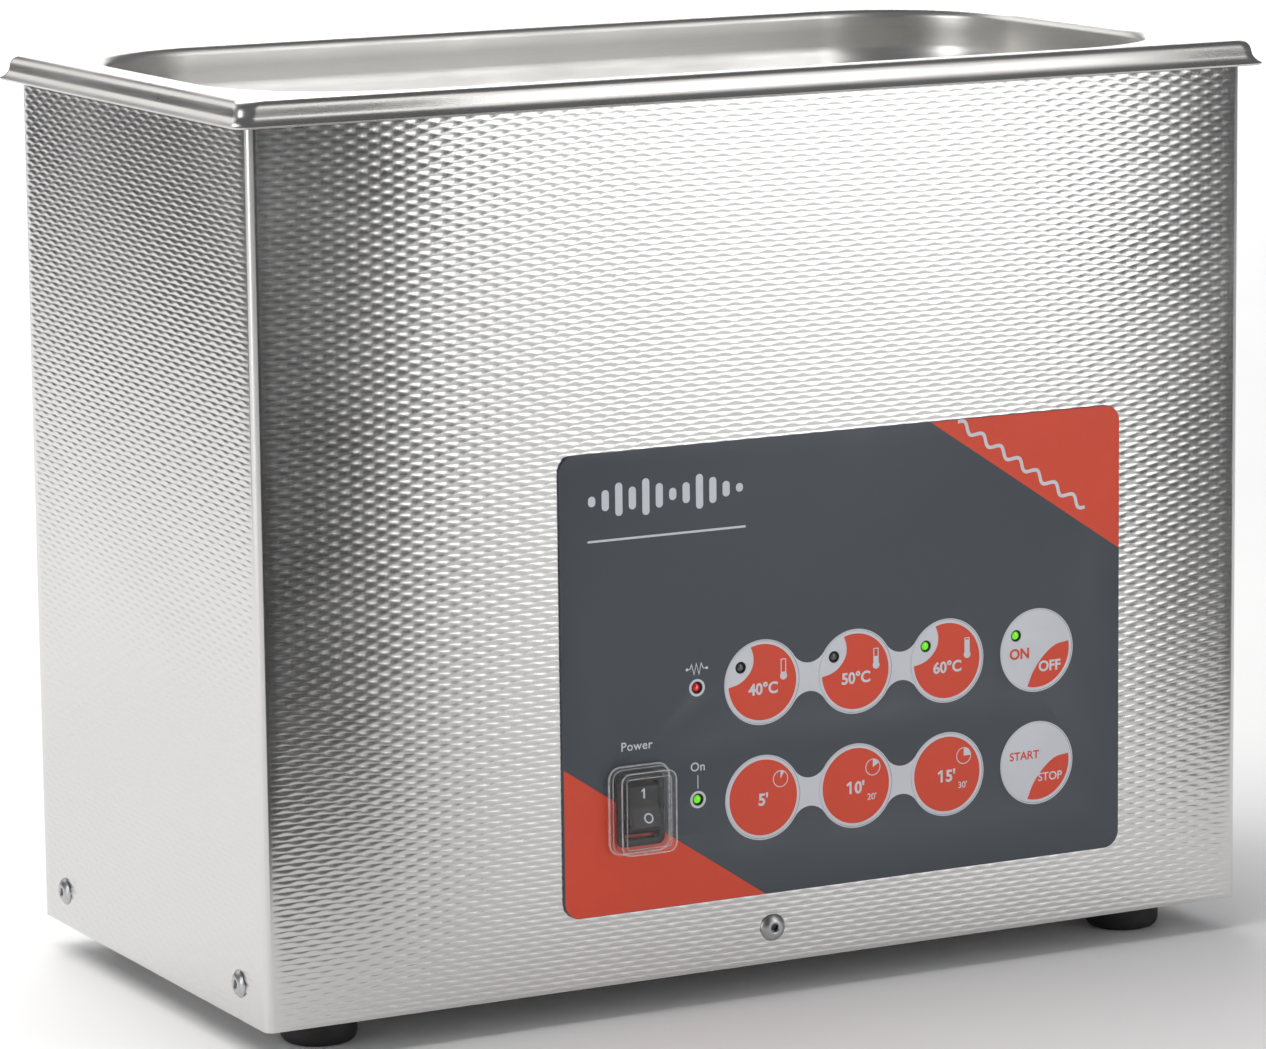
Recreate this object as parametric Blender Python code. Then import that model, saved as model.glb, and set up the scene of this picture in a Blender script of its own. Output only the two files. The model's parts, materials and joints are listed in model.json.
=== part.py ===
"""Bench-top ultrasonic cleaner, heated, about six litres.

A folded stainless housing carries a pressed tank that hangs by its rim. Two
bolted transducers are bonded under the tank; the control board sits behind the
front panel and the generator board stands on the base plate.

Frame: +Z up, front panel faces -Y, origin on the bench under the middle of the
machine. All constants are in millimetres; meshes are written in metres.
"""
import math

import bmesh
import bpy
from mathutils import Vector

MM = 0.001

# ---------------------------------------------------------------- dimensions
BODY_W, BODY_D = 320.0, 163.0          # housing outside, X and Y
FOOT_H = 10.0                          # bench to the housing's lower edge
HOUSING_TOP = 266.0                    # upper edge, hidden under the rim
SHEET = 1.0                            # housing and base sheet
BEND_R = 2.5                           # outside radius of the vertical bends

RIM_TOP = 268.8
TANK_L, TANK_D, TANK_H = 301.0, 151.0, 150.0
TANK_T = 1.0
TANK_R = 45.0                          # plan corner radius of the opening
TANK_FLOOR_R = 12.0
TANK_EDGE_R = 2.5
TANK_STEP = 1.5                        # shoulder where the wall steps in
STEP_Z0, STEP_Z1 = 252.0, 256.0
RIM_LIP = 5.5                          # lip beyond the housing faces

PANEL_X0, PANEL_X1 = -67.65, 117.35
PANEL_Z0, PANEL_Z1 = 30.8, 164.0
PANEL_R = 5.0
PANEL_T = 1.0
PANEL_GAP = 0.1                        # adhesive film behind the panel

KEY_X = (-3.3, 27.4, 58.1, 88.8)
KEY_Z = (93.2, 59.4)
KEY_R = 12.65
KEY_HOLE_R = 12.8
KEY_T = 0.5
KEY_TRAVEL = 0.4
KEY_STEM_R = 2.5
LED_DX, LED_DZ = -7.0, 4.9             # lamp position inside a key
LED_WINDOW_R = 2.0
LED_R = 1.5
LAMP_X = -24.6                         # pilot lamps beside the switch
LAMP_Z = (93.8, 61.2)

SWITCH_X, SWITCH_Z = -44.1, 60.9
SWITCH_HOLE = (13.4, 19.4)
BEZEL = (15.0, 21.0)
ROCKER = (10.0, 16.0)
ROCKER_PIVOT_Y = -80.6
ROCKER_TILT = math.radians(10.0)       # each side of the middle
COVER = (19.8, 26.0)

INLET_X, INLET_Z = 105.0, 46.0
INLET_FLANGE = (50.0, 36.0)
INLET_BODY = (28.0, 31.0)
INLET_SCREW_DX = 20.0
SOCKET = (24.5, 17.0)
SOCKET_Z = 5.0
DRAWER = (19.4, 7.4)
DRAWER_Z = -10.0

RIVET_SIDE_Y = 63.7
RIVET_Z = 20.5
FOOT_XY = (134.0, 58.5)
TRANSDUCER_X = (-65.0, 65.0)

FRONT = -BODY_D / 2                    # outer face of the front wall
BACK = BODY_D / 2
PANEL_FACE = FRONT - PANEL_GAP - PANEL_T
TANK_FLOOR = RIM_TOP - TANK_H

# ---------------------------------------------------------------- scene reset
for old in list(bpy.data.objects):
    bpy.data.objects.remove(old, do_unlink=True)
for old in list(bpy.data.meshes):
    bpy.data.meshes.remove(old)


# ---------------------------------------------------------------- materials
def material(name, color, rough, metal=0.0, alpha=1.0, glow=None):
    m = bpy.data.materials.new(name)
    m.use_nodes = True
    p = m.node_tree.nodes["Principled BSDF"]
    p.inputs["Base Color"].default_value = (*color, 1.0)
    p.inputs["Roughness"].default_value = rough
    p.inputs["Metallic"].default_value = metal
    p.inputs["Alpha"].default_value = alpha
    if glow:
        p.inputs["Emission Color"].default_value = (*glow, 1.0)
        p.inputs["Emission Strength"].default_value = 2.0
    return m


STEEL = ((0.62, 0.61, 0.60), 0.30, 1.0)
SATIN = ((0.66, 0.65, 0.64), 0.28, 1.0)
ALU = ((0.70, 0.71, 0.72), 0.38, 1.0)
RUBBER = ((0.018, 0.018, 0.020), 0.75)
BLACK = ((0.020, 0.021, 0.024), 0.35)
GREY = ((0.060, 0.065, 0.075), 0.45)
ORANGE = ((0.75, 0.070, 0.030), 0.40)
PALE = ((0.62, 0.64, 0.70), 0.42)
BOARD = ((0.010, 0.120, 0.050), 0.40)
CERAMIC = ((0.20, 0.19, 0.17), 0.50)
WHITE = ((0.75, 0.75, 0.73), 0.45)


# ---------------------------------------------------------------- mesh helpers
def front_map(x0=0.0, z0=0.0):
    """(u, v, w) with u across the front, v up and w into the machine (+Y)."""
    return lambda u, v, w: (x0 + u, w, z0 + v)


def side_map(y0=0.0, z0=0.0):
    return lambda u, v, w: (w, y0 + u, z0 + v)


def plan_map(x0=0.0, y0=0.0):
    return lambda u, v, w: (x0 + u, y0 + v, w)


def rounded(hx, hy, r, n, cx=0.0, cy=0.0):
    pts = []
    for q, (sx, sy) in enumerate(((1, 1), (-1, 1), (-1, -1), (1, -1))):
        for k in range(n + 1):
            a = math.radians(90.0 * q + 90.0 * k / n)
            pts.append((cx + sx * (hx - r) + r * math.cos(a),
                        cy + sy * (hy - r) + r * math.sin(a)))
    return pts


def circle(r, n, cx=0.0, cy=0.0, phase=0.0):
    return [(cx + r * math.cos(2 * math.pi * (k + phase) / n),
             cy + r * math.sin(2 * math.pi * (k + phase) / n)) for k in range(n)]


def rect(hx, hy, cx=0.0, cy=0.0):
    return [(cx + hx, cy + hy), (cx - hx, cy + hy), (cx - hx, cy - hy), (cx + hx, cy - hy)]


def loft(bm, loops, ring=False, caps=True):
    """Quads between equal loops; a ring joins the last loop to the first."""
    rows = [[bm.verts.new([c * MM for c in p]) for p in loop] for loop in loops]
    n = len(rows[0])
    pairs = list(zip(rows, rows[1:]))
    if ring:
        pairs.append((rows[-1], rows[0]))
    for a, b in pairs:
        for k in range(n):
            bm.faces.new((a[k], a[(k + 1) % n], b[(k + 1) % n], b[k]))
    if caps and not ring:
        bm.faces.new(rows[0])
        bm.faces.new(list(reversed(rows[-1])))


def prism(bm, pts, w0, w1, m):
    loft(bm, [[m(u, v, w) for u, v in pts] for w in (w0, w1)])


def lathe(bm, profile, n, m, phase=0.0):
    """Turn (radius, w) points about the w axis; radius 0 makes a pole."""
    rows = []
    for r, w in profile:
        if r < 1e-6:
            rows.append([bm.verts.new([c * MM for c in m(0.0, 0.0, w)])])
        else:
            rows.append([bm.verts.new([c * MM for c in m(u, v, w)])
                         for u, v in circle(r, n, phase=phase)])
    closed = len(rows[0]) > 1 and len(rows[-1]) > 1
    pairs = list(zip(rows, rows[1:])) + ([(rows[-1], rows[0])] if closed else [])
    for a, b in pairs:
        for k in range(n):
            j = (k + 1) % n
            if len(a) == 1:
                bm.faces.new((a[0], b[j], b[k]))
            elif len(b) == 1:
                bm.faces.new((a[k], a[j], b[0]))
            else:
                bm.faces.new((a[k], a[j], b[j], b[k]))


def smooth_path(pts, per=6):
    """Points on a Catmull-Rom curve through the given points."""
    p = [Vector(q) for q in pts]
    p = [p[0] * 2 - p[1]] + p + [p[-1] * 2 - p[-2]]
    out = []
    for i in range(1, len(p) - 2):
        for k in range(per):
            t = k / per
            out.append(0.5 * (2 * p[i] + (p[i + 1] - p[i - 1]) * t
                              + (2 * p[i - 1] - 5 * p[i] + 4 * p[i + 1] - p[i + 2]) * t * t
                              + (3 * p[i] - p[i - 1] - 3 * p[i + 1] + p[i + 2]) * t ** 3))
    out.append(p[-2])
    return out


def tube(bm, pts, section):
    """Sweep a 2-D section along points with a frame carried without twist."""
    path = [Vector(q) for q in pts]
    t0 = (path[1] - path[0]).normalized()
    u = t0.orthogonal().normalized()
    loops = []
    for i, q in enumerate(path):
        t = (path[min(i + 1, len(path) - 1)] - path[max(i - 1, 0)]).normalized()
        u = (u - t * u.dot(t)).normalized()
        v = t.cross(u)
        loops.append([tuple(q + u * a + v * b) for a, b in section])
    loft(bm, loops)


def obj(name, build, mat, origin=(0.0, 0.0, 0.0), smooth=True, parent=None):
    bm = bmesh.new()
    build(bm)
    bmesh.ops.recalc_face_normals(bm, faces=bm.faces)
    o = Vector(origin) * MM
    bmesh.ops.translate(bm, verts=bm.verts, vec=-o)
    me = bpy.data.meshes.new(name)
    bm.to_mesh(me)
    bm.free()
    if mat is not None:
        me.materials.append(material(name + "_mat", *mat))
    if smooth:
        me.shade_smooth()
        me.set_sharp_from_angle(angle=math.radians(32))
    ob = bpy.data.objects.new(name, me)
    bpy.context.scene.collection.objects.link(ob)
    ob.location = o
    if parent is not None:
        ob.parent = parent
        ob.location = o - parent.location
    return ob


def cut(target, name, build, op="DIFFERENCE"):
    c = obj(name, build, None, smooth=False)
    c.hide_render = True
    c.display_type = "WIRE"
    b = target.modifiers.new(name, "BOOLEAN")
    b.operation = op
    b.solver = "EXACT"
    b.object = c


def pivot(name, pos):
    e = bpy.data.objects.new(name, None)
    e.empty_display_size = 0.01
    bpy.context.scene.collection.objects.link(e)
    e.location = Vector(pos) * MM
    return e


# ---------------------------------------------------------------- housing
def build_housing(bm):
    hx, hy = BODY_W / 2, BODY_D / 2
    z0, z1 = FOOT_H, HOUSING_TOP
    loops = []
    for inset, z in ((0, z0), (0, z1), (SHEET, z1), (SHEET, z0)):
        loops.append([(x, y, z) for x, y in
                      rounded(hx - inset, hy - inset, BEND_R - inset, 4)])
    loft(bm, loops, ring=True)


def lamp_sites():
    sites = [(x + LED_DX, KEY_Z[0] + LED_DZ) for x in KEY_X]
    return sites + [(LAMP_X, z) for z in LAMP_Z]


def front_holes(bm):
    m = front_map()
    w0, w1 = FRONT - 2.0, FRONT + 3.0
    for z in KEY_Z:
        for x in KEY_X:
            prism(bm, circle(3.5, 12, x, z), w0, w1, m)
    for x, z in lamp_sites():
        prism(bm, circle(2.2, 10, x, z), w0, w1, m)
    prism(bm, rect(SWITCH_HOLE[0] / 2, SWITCH_HOLE[1] / 2, SWITCH_X, SWITCH_Z), w0, w1, m)
    prism(bm, circle(1.9, 10, 0.0, RIVET_Z), w0, w1, m)


def rear_holes(bm):
    m = front_map()
    w0, w1 = BACK - 3.0, BACK + 2.0
    prism(bm, rect(INLET_BODY[0] / 2 + 0.4, INLET_BODY[1] / 2 + 0.4, INLET_X, INLET_Z), w0, w1, m)
    for s in (-1, 1):
        prism(bm, circle(1.8, 10, INLET_X + s * INLET_SCREW_DX, INLET_Z), w0, w1, m)
    prism(bm, circle(1.9, 10, 0.0, RIVET_Z), w0, w1, m)
    for k in range(VENTS):
        prism(bm, rounded(1.5, 14.0, 1.2, 1, VENT_X0 + VENT_PITCH * k, VENT_Z), w0, w1, m)


VENTS, VENT_PITCH, VENT_X0, VENT_Z = 10, 9.0, -132.0, 62.0


def side_holes(bm):
    m = side_map()
    for sx in (-1, 1):
        x = sx * BODY_W / 2
        for sy in (-1, 1):
            prism(bm, circle(1.9, 10, sy * RIVET_SIDE_Y, RIVET_Z), x - 3.0, x + 3.0, m)


housing = obj("housing_wrap", build_housing, STEEL)
cut(housing, "cut_front_holes", front_holes)
cut(housing, "cut_rear_holes", rear_holes)
cut(housing, "cut_side_holes", side_holes)


# ---------------------------------------------------------------- tank and rim
def tank_profile():
    """(growth, z, corner) along the wetted face, floor to lip.

    growth is measured from the opening's outline up to the flat rim, then
    from the housing's faces outwards; corner is the plan radius.
    """
    inner = []
    for k in range(5):
        a = math.radians(90.0 * k / 4)
        inset = TANK_STEP + TANK_FLOOR_R * (1 - math.sin(a))
        inner.append((-inset, TANK_FLOOR + TANK_FLOOR_R * (1 - math.cos(a))))
    inner += [(-TANK_STEP, STEP_Z0), (0.0, STEP_Z1)]
    for k in range(4):
        a = math.radians(90.0 * k / 3)
        inner.append((TANK_EDGE_R * (1 - math.cos(a)),
                      RIM_TOP - TANK_EDGE_R + TANK_EDGE_R * math.sin(a)))
    outer = [(0.9, RIM_TOP, 6.0), (1.9, RIM_TOP - 0.2, 6.0), (2.7, RIM_TOP - 0.75, 5.8),
             (3.25, RIM_TOP - 1.6, 5.5), (3.55, RIM_TOP - 2.7, 5.3), (3.7, RIM_TOP - 3.8, 5.2),
             (3.95, RIM_TOP - 4.7, 5.0), (4.6, RIM_TOP - 5.7, 4.7), (RIM_LIP, RIM_TOP - 6.5, 4.2)]
    return inner, outer


def offset_right(points, t):
    """Shift a polyline to the right of its direction of travel."""
    out = []
    for i, (a, z) in enumerate(points):
        (a0, z0) = points[max(i - 1, 0)]
        (a1, z1) = points[min(i + 1, len(points) - 1)]
        d = math.hypot(a1 - a0, z1 - z0)
        out.append((a + t * (z1 - z0) / d, z - t * (a1 - a0) / d))
    return out


def build_tank(bm):
    n = 6
    inner, outer = tank_profile()
    face = []
    for g, z in inner:
        face.append((TANK_L / 2 + g, TANK_D / 2 + g, TANK_R + g, z))
    for g, z, c in outer:
        face.append((BODY_W / 2 + g, BODY_D / 2 + g, c, z))
    # underside: the same run of points, one sheet thickness below and behind
    shifted_in = offset_right([(0.0, inner[0][1])] + inner + [(inner[-1][0] + 1, inner[-1][1])], TANK_T)[1:-1]
    shifted_out = offset_right([(outer[0][0] - 1, outer[0][1])] + [(g, z) for g, z, _ in outer], 0.8)[1:]
    back = []
    floor = TANK_FLOOR - TANK_T
    for i, (g, z) in enumerate(shifted_in):
        z = max(z, floor) if i else floor
        back.append((TANK_L / 2 + g, TANK_D / 2 + g, TANK_R + g, min(z, RIM_TOP - TANK_T)))
    for (g, z), (_, _, c) in zip(shifted_out, outer):
        back.append((BODY_W / 2 + g, BODY_D / 2 + g, max(c - 0.8, 1.5), min(z, RIM_TOP - TANK_T)))
    loops = [[(x, y, z) for x, y in rounded(hx, hy, r, n)] for hx, hy, r, z in face]
    loops += [[(x, y, z) for x, y in rounded(hx, hy, r, n)] for hx, hy, r, z in reversed(back)]
    loft(bm, loops)


obj("tank_basin", build_tank, SATIN)


def build_seal(bm):
    loops = []
    for g, z in ((-0.5, 266.25), (-0.5, 267.0), (-3.0, 267.0), (-3.0, 266.25)):
        loops.append([(x, y, z) for x, y in
                      rounded(BODY_W / 2 + g, BODY_D / 2 + g, 5.5 + g, 4)])
    loft(bm, loops, ring=True)


obj("tank_seal", build_seal, RUBBER)

# ---------------------------------------------------------------- base plate
BASE_Z0 = 11.5
BASE_TOP = 30.0
BASE_HX, BASE_HY = BODY_W / 2 - SHEET - 0.3, BODY_D / 2 - SHEET - 0.3


def build_base(bm):
    loops = []
    for inset, z, r in ((0.0, BASE_Z0, 1.6), (0.0, BASE_TOP, 1.6),
                        (SHEET, BASE_TOP, 0.9), (SHEET, BASE_Z0 + SHEET, 0.9)):
        loops.append([(x, y, z) for x, y in rounded(BASE_HX - inset, BASE_HY - inset, r, 3)])
    loft(bm, loops)


def base_holes(bm):
    m = plan_map()
    for sx in (-1, 1):
        for sy in (-1, 1):
            prism(bm, circle(4.2, 12, sx * FOOT_XY[0], sy * FOOT_XY[1]),
                  BASE_Z0 - 2.0, BASE_Z0 + 3.0, m)
    for k in range(7):
        for y in (-24.0, 24.0):
            prism(bm, rounded(1.5, 13.0, 1.2, 1, -84.0 + 10.0 * k, y),
                  BASE_Z0 - 2.0, BASE_Z0 + 3.0, m)


def base_rivet_holes(bm):
    m = side_map()
    for sx in (-1, 1):
        for sy in (-1, 1):
            x = sx * BASE_HX
            prism(bm, circle(1.9, 10, sy * RIVET_SIDE_Y, RIVET_Z), x - 3.0, x + 3.0, m)
    m = front_map()
    for sy in (-1, 1):
        prism(bm, circle(1.9, 10, 0.0, RIVET_Z), sy * BASE_HY - 3.0, sy * BASE_HY + 3.0, m)


base = obj("base_plate", build_base, STEEL)
cut(base, "cut_base_holes", base_holes)
cut(base, "cut_base_rivets", base_rivet_holes)

# ---------------------------------------------------------------- feet
FOOT_PROFILE = ([(0.0, 0.0), (8.5, 0.0)]
                + [(8.5 + 2.5 * math.sin(math.radians(a)), 3.2 - 3.2 * math.cos(math.radians(a)))
                   for a in (30, 60, 90)]
                + [(11.0, 11.3), (3.8, 11.3), (3.8, 12.8), (5.4, 12.9), (3.6, 16.0), (0.0, 16.0)])

for fb, sy in (("front", -1), ("rear", 1)):
    for lr, sx in (("left", -1), ("right", 1)):
        x, y = sx * FOOT_XY[0], sy * FOOT_XY[1]
        obj(f"foot_{fb}_{lr}", lambda bm, x=x, y=y: lathe(bm, FOOT_PROFILE, 16, plan_map(x, y)),
            RUBBER, (x, y, 0.0))


# ---------------------------------------------------------------- rivets
def rivet_profile(face, out):
    """Blind rivet: dome outside, shank through both sheets, bulb inside."""
    f = face + out * 0.12
    return [(1.2, f - out * 0.6), (1.2, f + out * 1.45), (1.9, f + out * 1.6),
            (3.2, f + out * 1.05), (4.0, f + out * 0.25), (4.0, f), (1.55, f),
            (1.55, f - out * 2.6), (2.7, f - out * 3.2), (2.5, f - out * 5.2),
            (0.0, f - out * 5.6), (0.0, f - out * 0.6)][:-1] + [(0.0, f - out * 0.6)]


def rivet(name, pos, axis, out):
    prof = rivet_profile(pos[axis], out)
    if axis == 0:
        m = side_map(pos[1], pos[2])
    else:
        m = front_map(pos[0], pos[2])
    # the bore's floor closes the hole behind the dome
    prof = [(0.0, prof[0][1])] + prof[:-1]
    obj(name, lambda bm: lathe(bm, prof, 10, m), ALU, pos)


for sx, lr in ((-1, "left"), (1, "right")):
    for sy, fb in ((-1, "front"), (1, "rear")):
        rivet(f"rivet_{lr}_{fb}", (sx * BODY_W / 2, sy * RIVET_SIDE_Y, RIVET_Z), 0, sx)
rivet("rivet_front_middle", (0.0, FRONT, RIVET_Z), 1, -1)
rivet("rivet_rear_middle", (0.0, BACK, RIVET_Z), 1, 1)


# ---------------------------------------------------------------- front panel
def build_panel(bm):
    cx, cz = (PANEL_X0 + PANEL_X1) / 2, (PANEL_Z0 + PANEL_Z1) / 2
    pts = rounded((PANEL_X1 - PANEL_X0) / 2, (PANEL_Z1 - PANEL_Z0) / 2, PANEL_R, 5, cx, cz)
    prism(bm, pts, PANEL_FACE, FRONT - PANEL_GAP, front_map())


def panel_holes(bm):
    m = front_map()
    w0, w1 = PANEL_FACE - 2.0, FRONT + 2.0
    for z in KEY_Z:
        for x in KEY_X:
            prism(bm, circle(KEY_HOLE_R, 32, x, z), w0, w1, m)
    for z in LAMP_Z:
        prism(bm, circle(2.1, 12, LAMP_X, z), w0, w1, m)
    prism(bm, rect(SWITCH_HOLE[0] / 2, SWITCH_HOLE[1] / 2, SWITCH_X, SWITCH_Z), w0, w1, m)


panel = obj("panel_overlay", build_panel, GREY)
cut(panel, "cut_panel_holes", panel_holes)

TACT_TOP = FRONT + 3.1                 # actuator of the switch behind a key


def build_key(bm, x, z):
    m = front_map(x, z)
    f = PANEL_FACE
    lathe(bm, [(0.0, f), (KEY_R, f), (KEY_R, f + KEY_T), (KEY_STEM_R, f + KEY_T),
               (KEY_STEM_R, TACT_TOP - KEY_TRAVEL - 0.05), (0.0, TACT_TOP - KEY_TRAVEL - 0.05)],
          32, m)


KEYS = (("key_40c", 0, 0), ("key_50c", 1, 0), ("key_60c", 2, 0), ("key_heat_on_off", 3, 0),
        ("key_5min", 0, 1), ("key_10min", 1, 1), ("key_15min", 2, 1), ("key_start_stop", 3, 1))
for name, i, j in KEYS:
    x, z = KEY_X[i], KEY_Z[j]
    axis_point = pivot("slide_" + name, (x, PANEL_FACE, z))
    key = obj(name, lambda bm, x=x, z=z: build_key(bm, x, z), ORANGE if i < 3 else PALE,
              (x, PANEL_FACE, z), parent=axis_point)
    if j == 0:
        cut(key, "cut_" + name, lambda bm, x=x, z=z: prism(
            bm, circle(LED_WINDOW_R, 12, x + LED_DX, z + LED_DZ),
            PANEL_FACE - 1.0, PANEL_FACE + 1.5, front_map()))

# ---------------------------------------------------------------- lamps
BOARD_Y0, BOARD_Y1 = FRONT + 7.5, FRONT + 9.1
LED_TIP = PANEL_FACE + 0.35


def build_led(bm, x, z):
    prof = [(0.0, LED_TIP), (0.8, LED_TIP + 0.22), (1.3, LED_TIP + 0.75), (LED_R, LED_TIP + 1.5),
            (LED_R, BOARD_Y0 - 1.3), (1.9, BOARD_Y0 - 1.3), (1.9, BOARD_Y0 - 0.2), (0.0, BOARD_Y0 - 0.2)]
    lathe(bm, prof, 10, front_map(x, z))


LEDS = (("led_40c", 0, ((0.05, 0.06, 0.05), 0.3)), ("led_50c", 1, ((0.05, 0.06, 0.05), 0.3)),
        ("led_60c", 2, ((0.10, 0.65, 0.05), 0.3)), ("led_heat_on", 3, ((0.10, 0.65, 0.05), 0.3)),
        ("led_heater", 4, ((0.70, 0.02, 0.02), 0.3)), ("led_power", 5, ((0.10, 0.65, 0.05), 0.3)))
for name, k, mat in LEDS:
    x, z = lamp_sites()[k]
    obj(name, lambda bm, x=x, z=z: build_led(bm, x, z), mat, (x, LED_TIP, z))

# ---------------------------------------------------------------- power switch
COVER_BACK = PANEL_FACE - 0.1
COVER_BASE_T = 0.9
BEZEL_BACK = COVER_BACK - COVER_BASE_T - 0.2
BEZEL_FRONT = BEZEL_BACK - 1.4
SWITCH_BACK = FRONT + 20.0


def build_switch_body(bm):
    m = front_map(SWITCH_X, SWITCH_Z)
    hx, hz = BEZEL[0] / 2, BEZEL[1] / 2
    bx, bz = SWITCH_HOLE[0] / 2 - 0.3, SWITCH_HOLE[1] / 2 - 0.3
    rx, rz = ROCKER[0] / 2 + 0.3, ROCKER[1] / 2 + 0.3
    n = 3
    deep = ROCKER_PIVOT_Y + 7.0
    seq = [(rx, rz, 0.8, deep), (rx, rz, 0.8, BEZEL_FRONT), (hx - 0.5, hz - 0.5, 1.3, BEZEL_FRONT),
           (hx, hz, 1.8, BEZEL_FRONT + 0.5), (hx, hz, 1.8, BEZEL_BACK), (bx, bz, 0.8, BEZEL_BACK),
           (bx, bz, 0.8, SWITCH_BACK)]
    loft(bm, [[m(u, v, w) for u, v in rounded(a, b, r, n)] for a, b, r, w in seq])


def trunnion_bores(bm):
    prism(bm, circle(TRUNNION_R + 0.1, 12, ROCKER_PIVOT_Y, SWITCH_Z),
          SWITCH_X - 8.0, SWITCH_X + 8.0, side_map())


TRUNNION_R = 1.2
switch = obj("switch_body", build_switch_body, BLACK, (SWITCH_X, BEZEL_FRONT, SWITCH_Z))
cut(switch, "cut_trunnion_bores", trunnion_bores)


def rocker_side():
    """Side outline of the rocker about its pivot, before it is tipped.

    The face is a shallow V whose halves each lean by the tilt, so the half
    that is pressed in lies parallel to the panel.
    """
    tip = ROCKER_PIVOT_Y - (BEZEL_FRONT - 2.5)       # reach of the end lips
    flat = 5.8
    pts = [(-7.7, 0.9), (-7.6, 2.2), (-6.3, tip - 0.6), (-6.1, tip - 0.2), (-flat, tip)]
    for k in range(1, 8):
        t = -1 + k / 4.0
        pts.append((t * flat, tip - math.tan(ROCKER_TILT) * flat * (1 - abs(t))))
    pts += [(flat, tip), (6.1, tip - 0.2), (6.3, tip - 0.6), (7.6, 2.2), (7.7, 0.9)]
    for k in range(1, 8):
        a = math.pi * k / 8
        pts.append((2.6 * math.cos(a), 0.9 - 0.2 - 3.4 * math.sin(a)))
    return pts


def tipped(v, d):
    """Turn a side point about the pivot so that the upper end goes in."""
    c, s = math.cos(ROCKER_TILT), math.sin(ROCKER_TILT)
    return v * c + d * s, d * c - v * s


def build_rocker(bm):
    hw = ROCKER[0] / 2 - 0.1
    loops = []
    for u, shrink in ((-hw, 0.35), (-hw + 0.4, 0.0), (hw - 0.4, 0.0), (hw, 0.35)):
        loop = []
        for v, d in rocker_side():
            vv, dd = tipped(v * (1 - shrink / 8.0), d - (shrink if d > 2.0 else 0.0))
            loop.append((SWITCH_X + u, ROCKER_PIVOT_Y - dd, SWITCH_Z + vv))
        loops.append(loop)
    loft(bm, loops)


def rocker_trunnions(bm):
    prism(bm, circle(TRUNNION_R, 12, ROCKER_PIVOT_Y, SWITCH_Z),
          SWITCH_X - 6.1, SWITCH_X + 6.1, side_map())


hinge = pivot("hinge_switch_rocker", (SWITCH_X, ROCKER_PIVOT_Y, SWITCH_Z))
rocker = obj("switch_rocker", build_rocker, BLACK, (SWITCH_X, ROCKER_PIVOT_Y, SWITCH_Z), parent=hinge)
cut(rocker, "join_rocker_trunnions", rocker_trunnions, op="UNION")


def build_cover(bm):
    """Clear splash cover: flat base on the panel, stepped wall, thin window."""
    m = front_map(SWITCH_X, SWITCH_Z)
    hx, hz = COVER[0] / 2, COVER[1] / 2
    b = COVER_BACK
    seq = [(SWITCH_HOLE[0] / 2 + 0.05, SWITCH_HOLE[1] / 2 + 0.05, 1.0, b),
           (hx - 0.4, hz - 0.4, 3.4, b), (hx, hz, 3.8, b - 0.5), (hx, hz, 3.8, b - 1.5),
           (hx - 0.5, hz - 0.5, 3.3, b - 2.0), (hx - 0.8, hz - 0.8, 3.0, b - 2.2),
           (hx - 0.9, hz - 0.9, 2.9, b - 6.7), (hx - 1.5, hz - 1.5, 2.4, b - 7.3),
           (hx - 2.2, hz - 2.2, 1.8, b - 7.3), (hx - 2.4, hz - 2.4, 1.6, b - 7.2),
           (1.0, 4.0, 0.6, b - 7.2),
           (1.0, 4.0, 0.6, b - 6.7), (hx - 2.0, hz - 2.0, 1.4, b - 6.7),
           (hx - 1.9, hz - 1.9, 1.5, b - 1.1),
           (hx - 2.0, hz - 2.0, 1.4, b - COVER_BASE_T),
           (SWITCH_HOLE[0] / 2 + 0.05, SWITCH_HOLE[1] / 2 + 0.05, 1.0, b - COVER_BASE_T)]
    loops = [[m(u, v, w) for u, v in rounded(p, q, r, 4)] for p, q, r, w in seq]
    front = loops[:11]
    rear = loops[11:]
    # front skin and inner skin are two closed fans joined at the base opening
    rows = [[bm.verts.new([c * MM for c in p]) for p in loop] for loop in front + rear]
    n = len(rows[0])

    def band(a, b2):
        for k in range(n):
            bm.faces.new((a[k], a[(k + 1) % n], b2[(k + 1) % n], b2[k]))
    for i in range(10):
        band(rows[i], rows[i + 1])
    bm.faces.new(rows[10])
    bm.faces.new(rows[11])
    for i in range(11, 15):
        band(rows[i], rows[i + 1])
    band(rows[15], rows[0])


obj("switch_cover", build_cover, ((0.85, 0.85, 0.85), 0.08, 0.0, 0.3),
    (SWITCH_X, COVER_BACK, SWITCH_Z))


# ---------------------------------------------------------------- control board
def build_control_board(bm):
    prism(bm, rect(68.0, 32.0, 36.0, 76.0), BOARD_Y0, BOARD_Y1, front_map())


def control_parts(bm):
    for z in KEY_Z:
        for x in KEY_X:
            m = front_map(x, z)
            seq = [(rect(3.0, 3.0), BOARD_Y0 + 0.5), (rect(3.0, 3.0), TACT_TOP + 0.9),
                   (rect(1.3, 1.3), TACT_TOP + 0.9), (rect(1.3, 1.3), TACT_TOP)]
            loft(bm, [[m(u, v, w) for u, v in pts] for pts, w in seq])
    prism(bm, rect(9.0, 9.0, 40.0, 76.0), BOARD_Y1 - 0.5, BOARD_Y1 + 2.0, front_map())
    prism(bm, rect(12.0, 3.5, 40.0, 50.0), BOARD_Y1 - 0.5, BOARD_Y1 + 7.0, front_map())


board = obj("control_board", build_control_board, BOARD, (36.0, BOARD_Y0, 76.0))
cut(board, "join_control_parts", control_parts, op="UNION")

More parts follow.
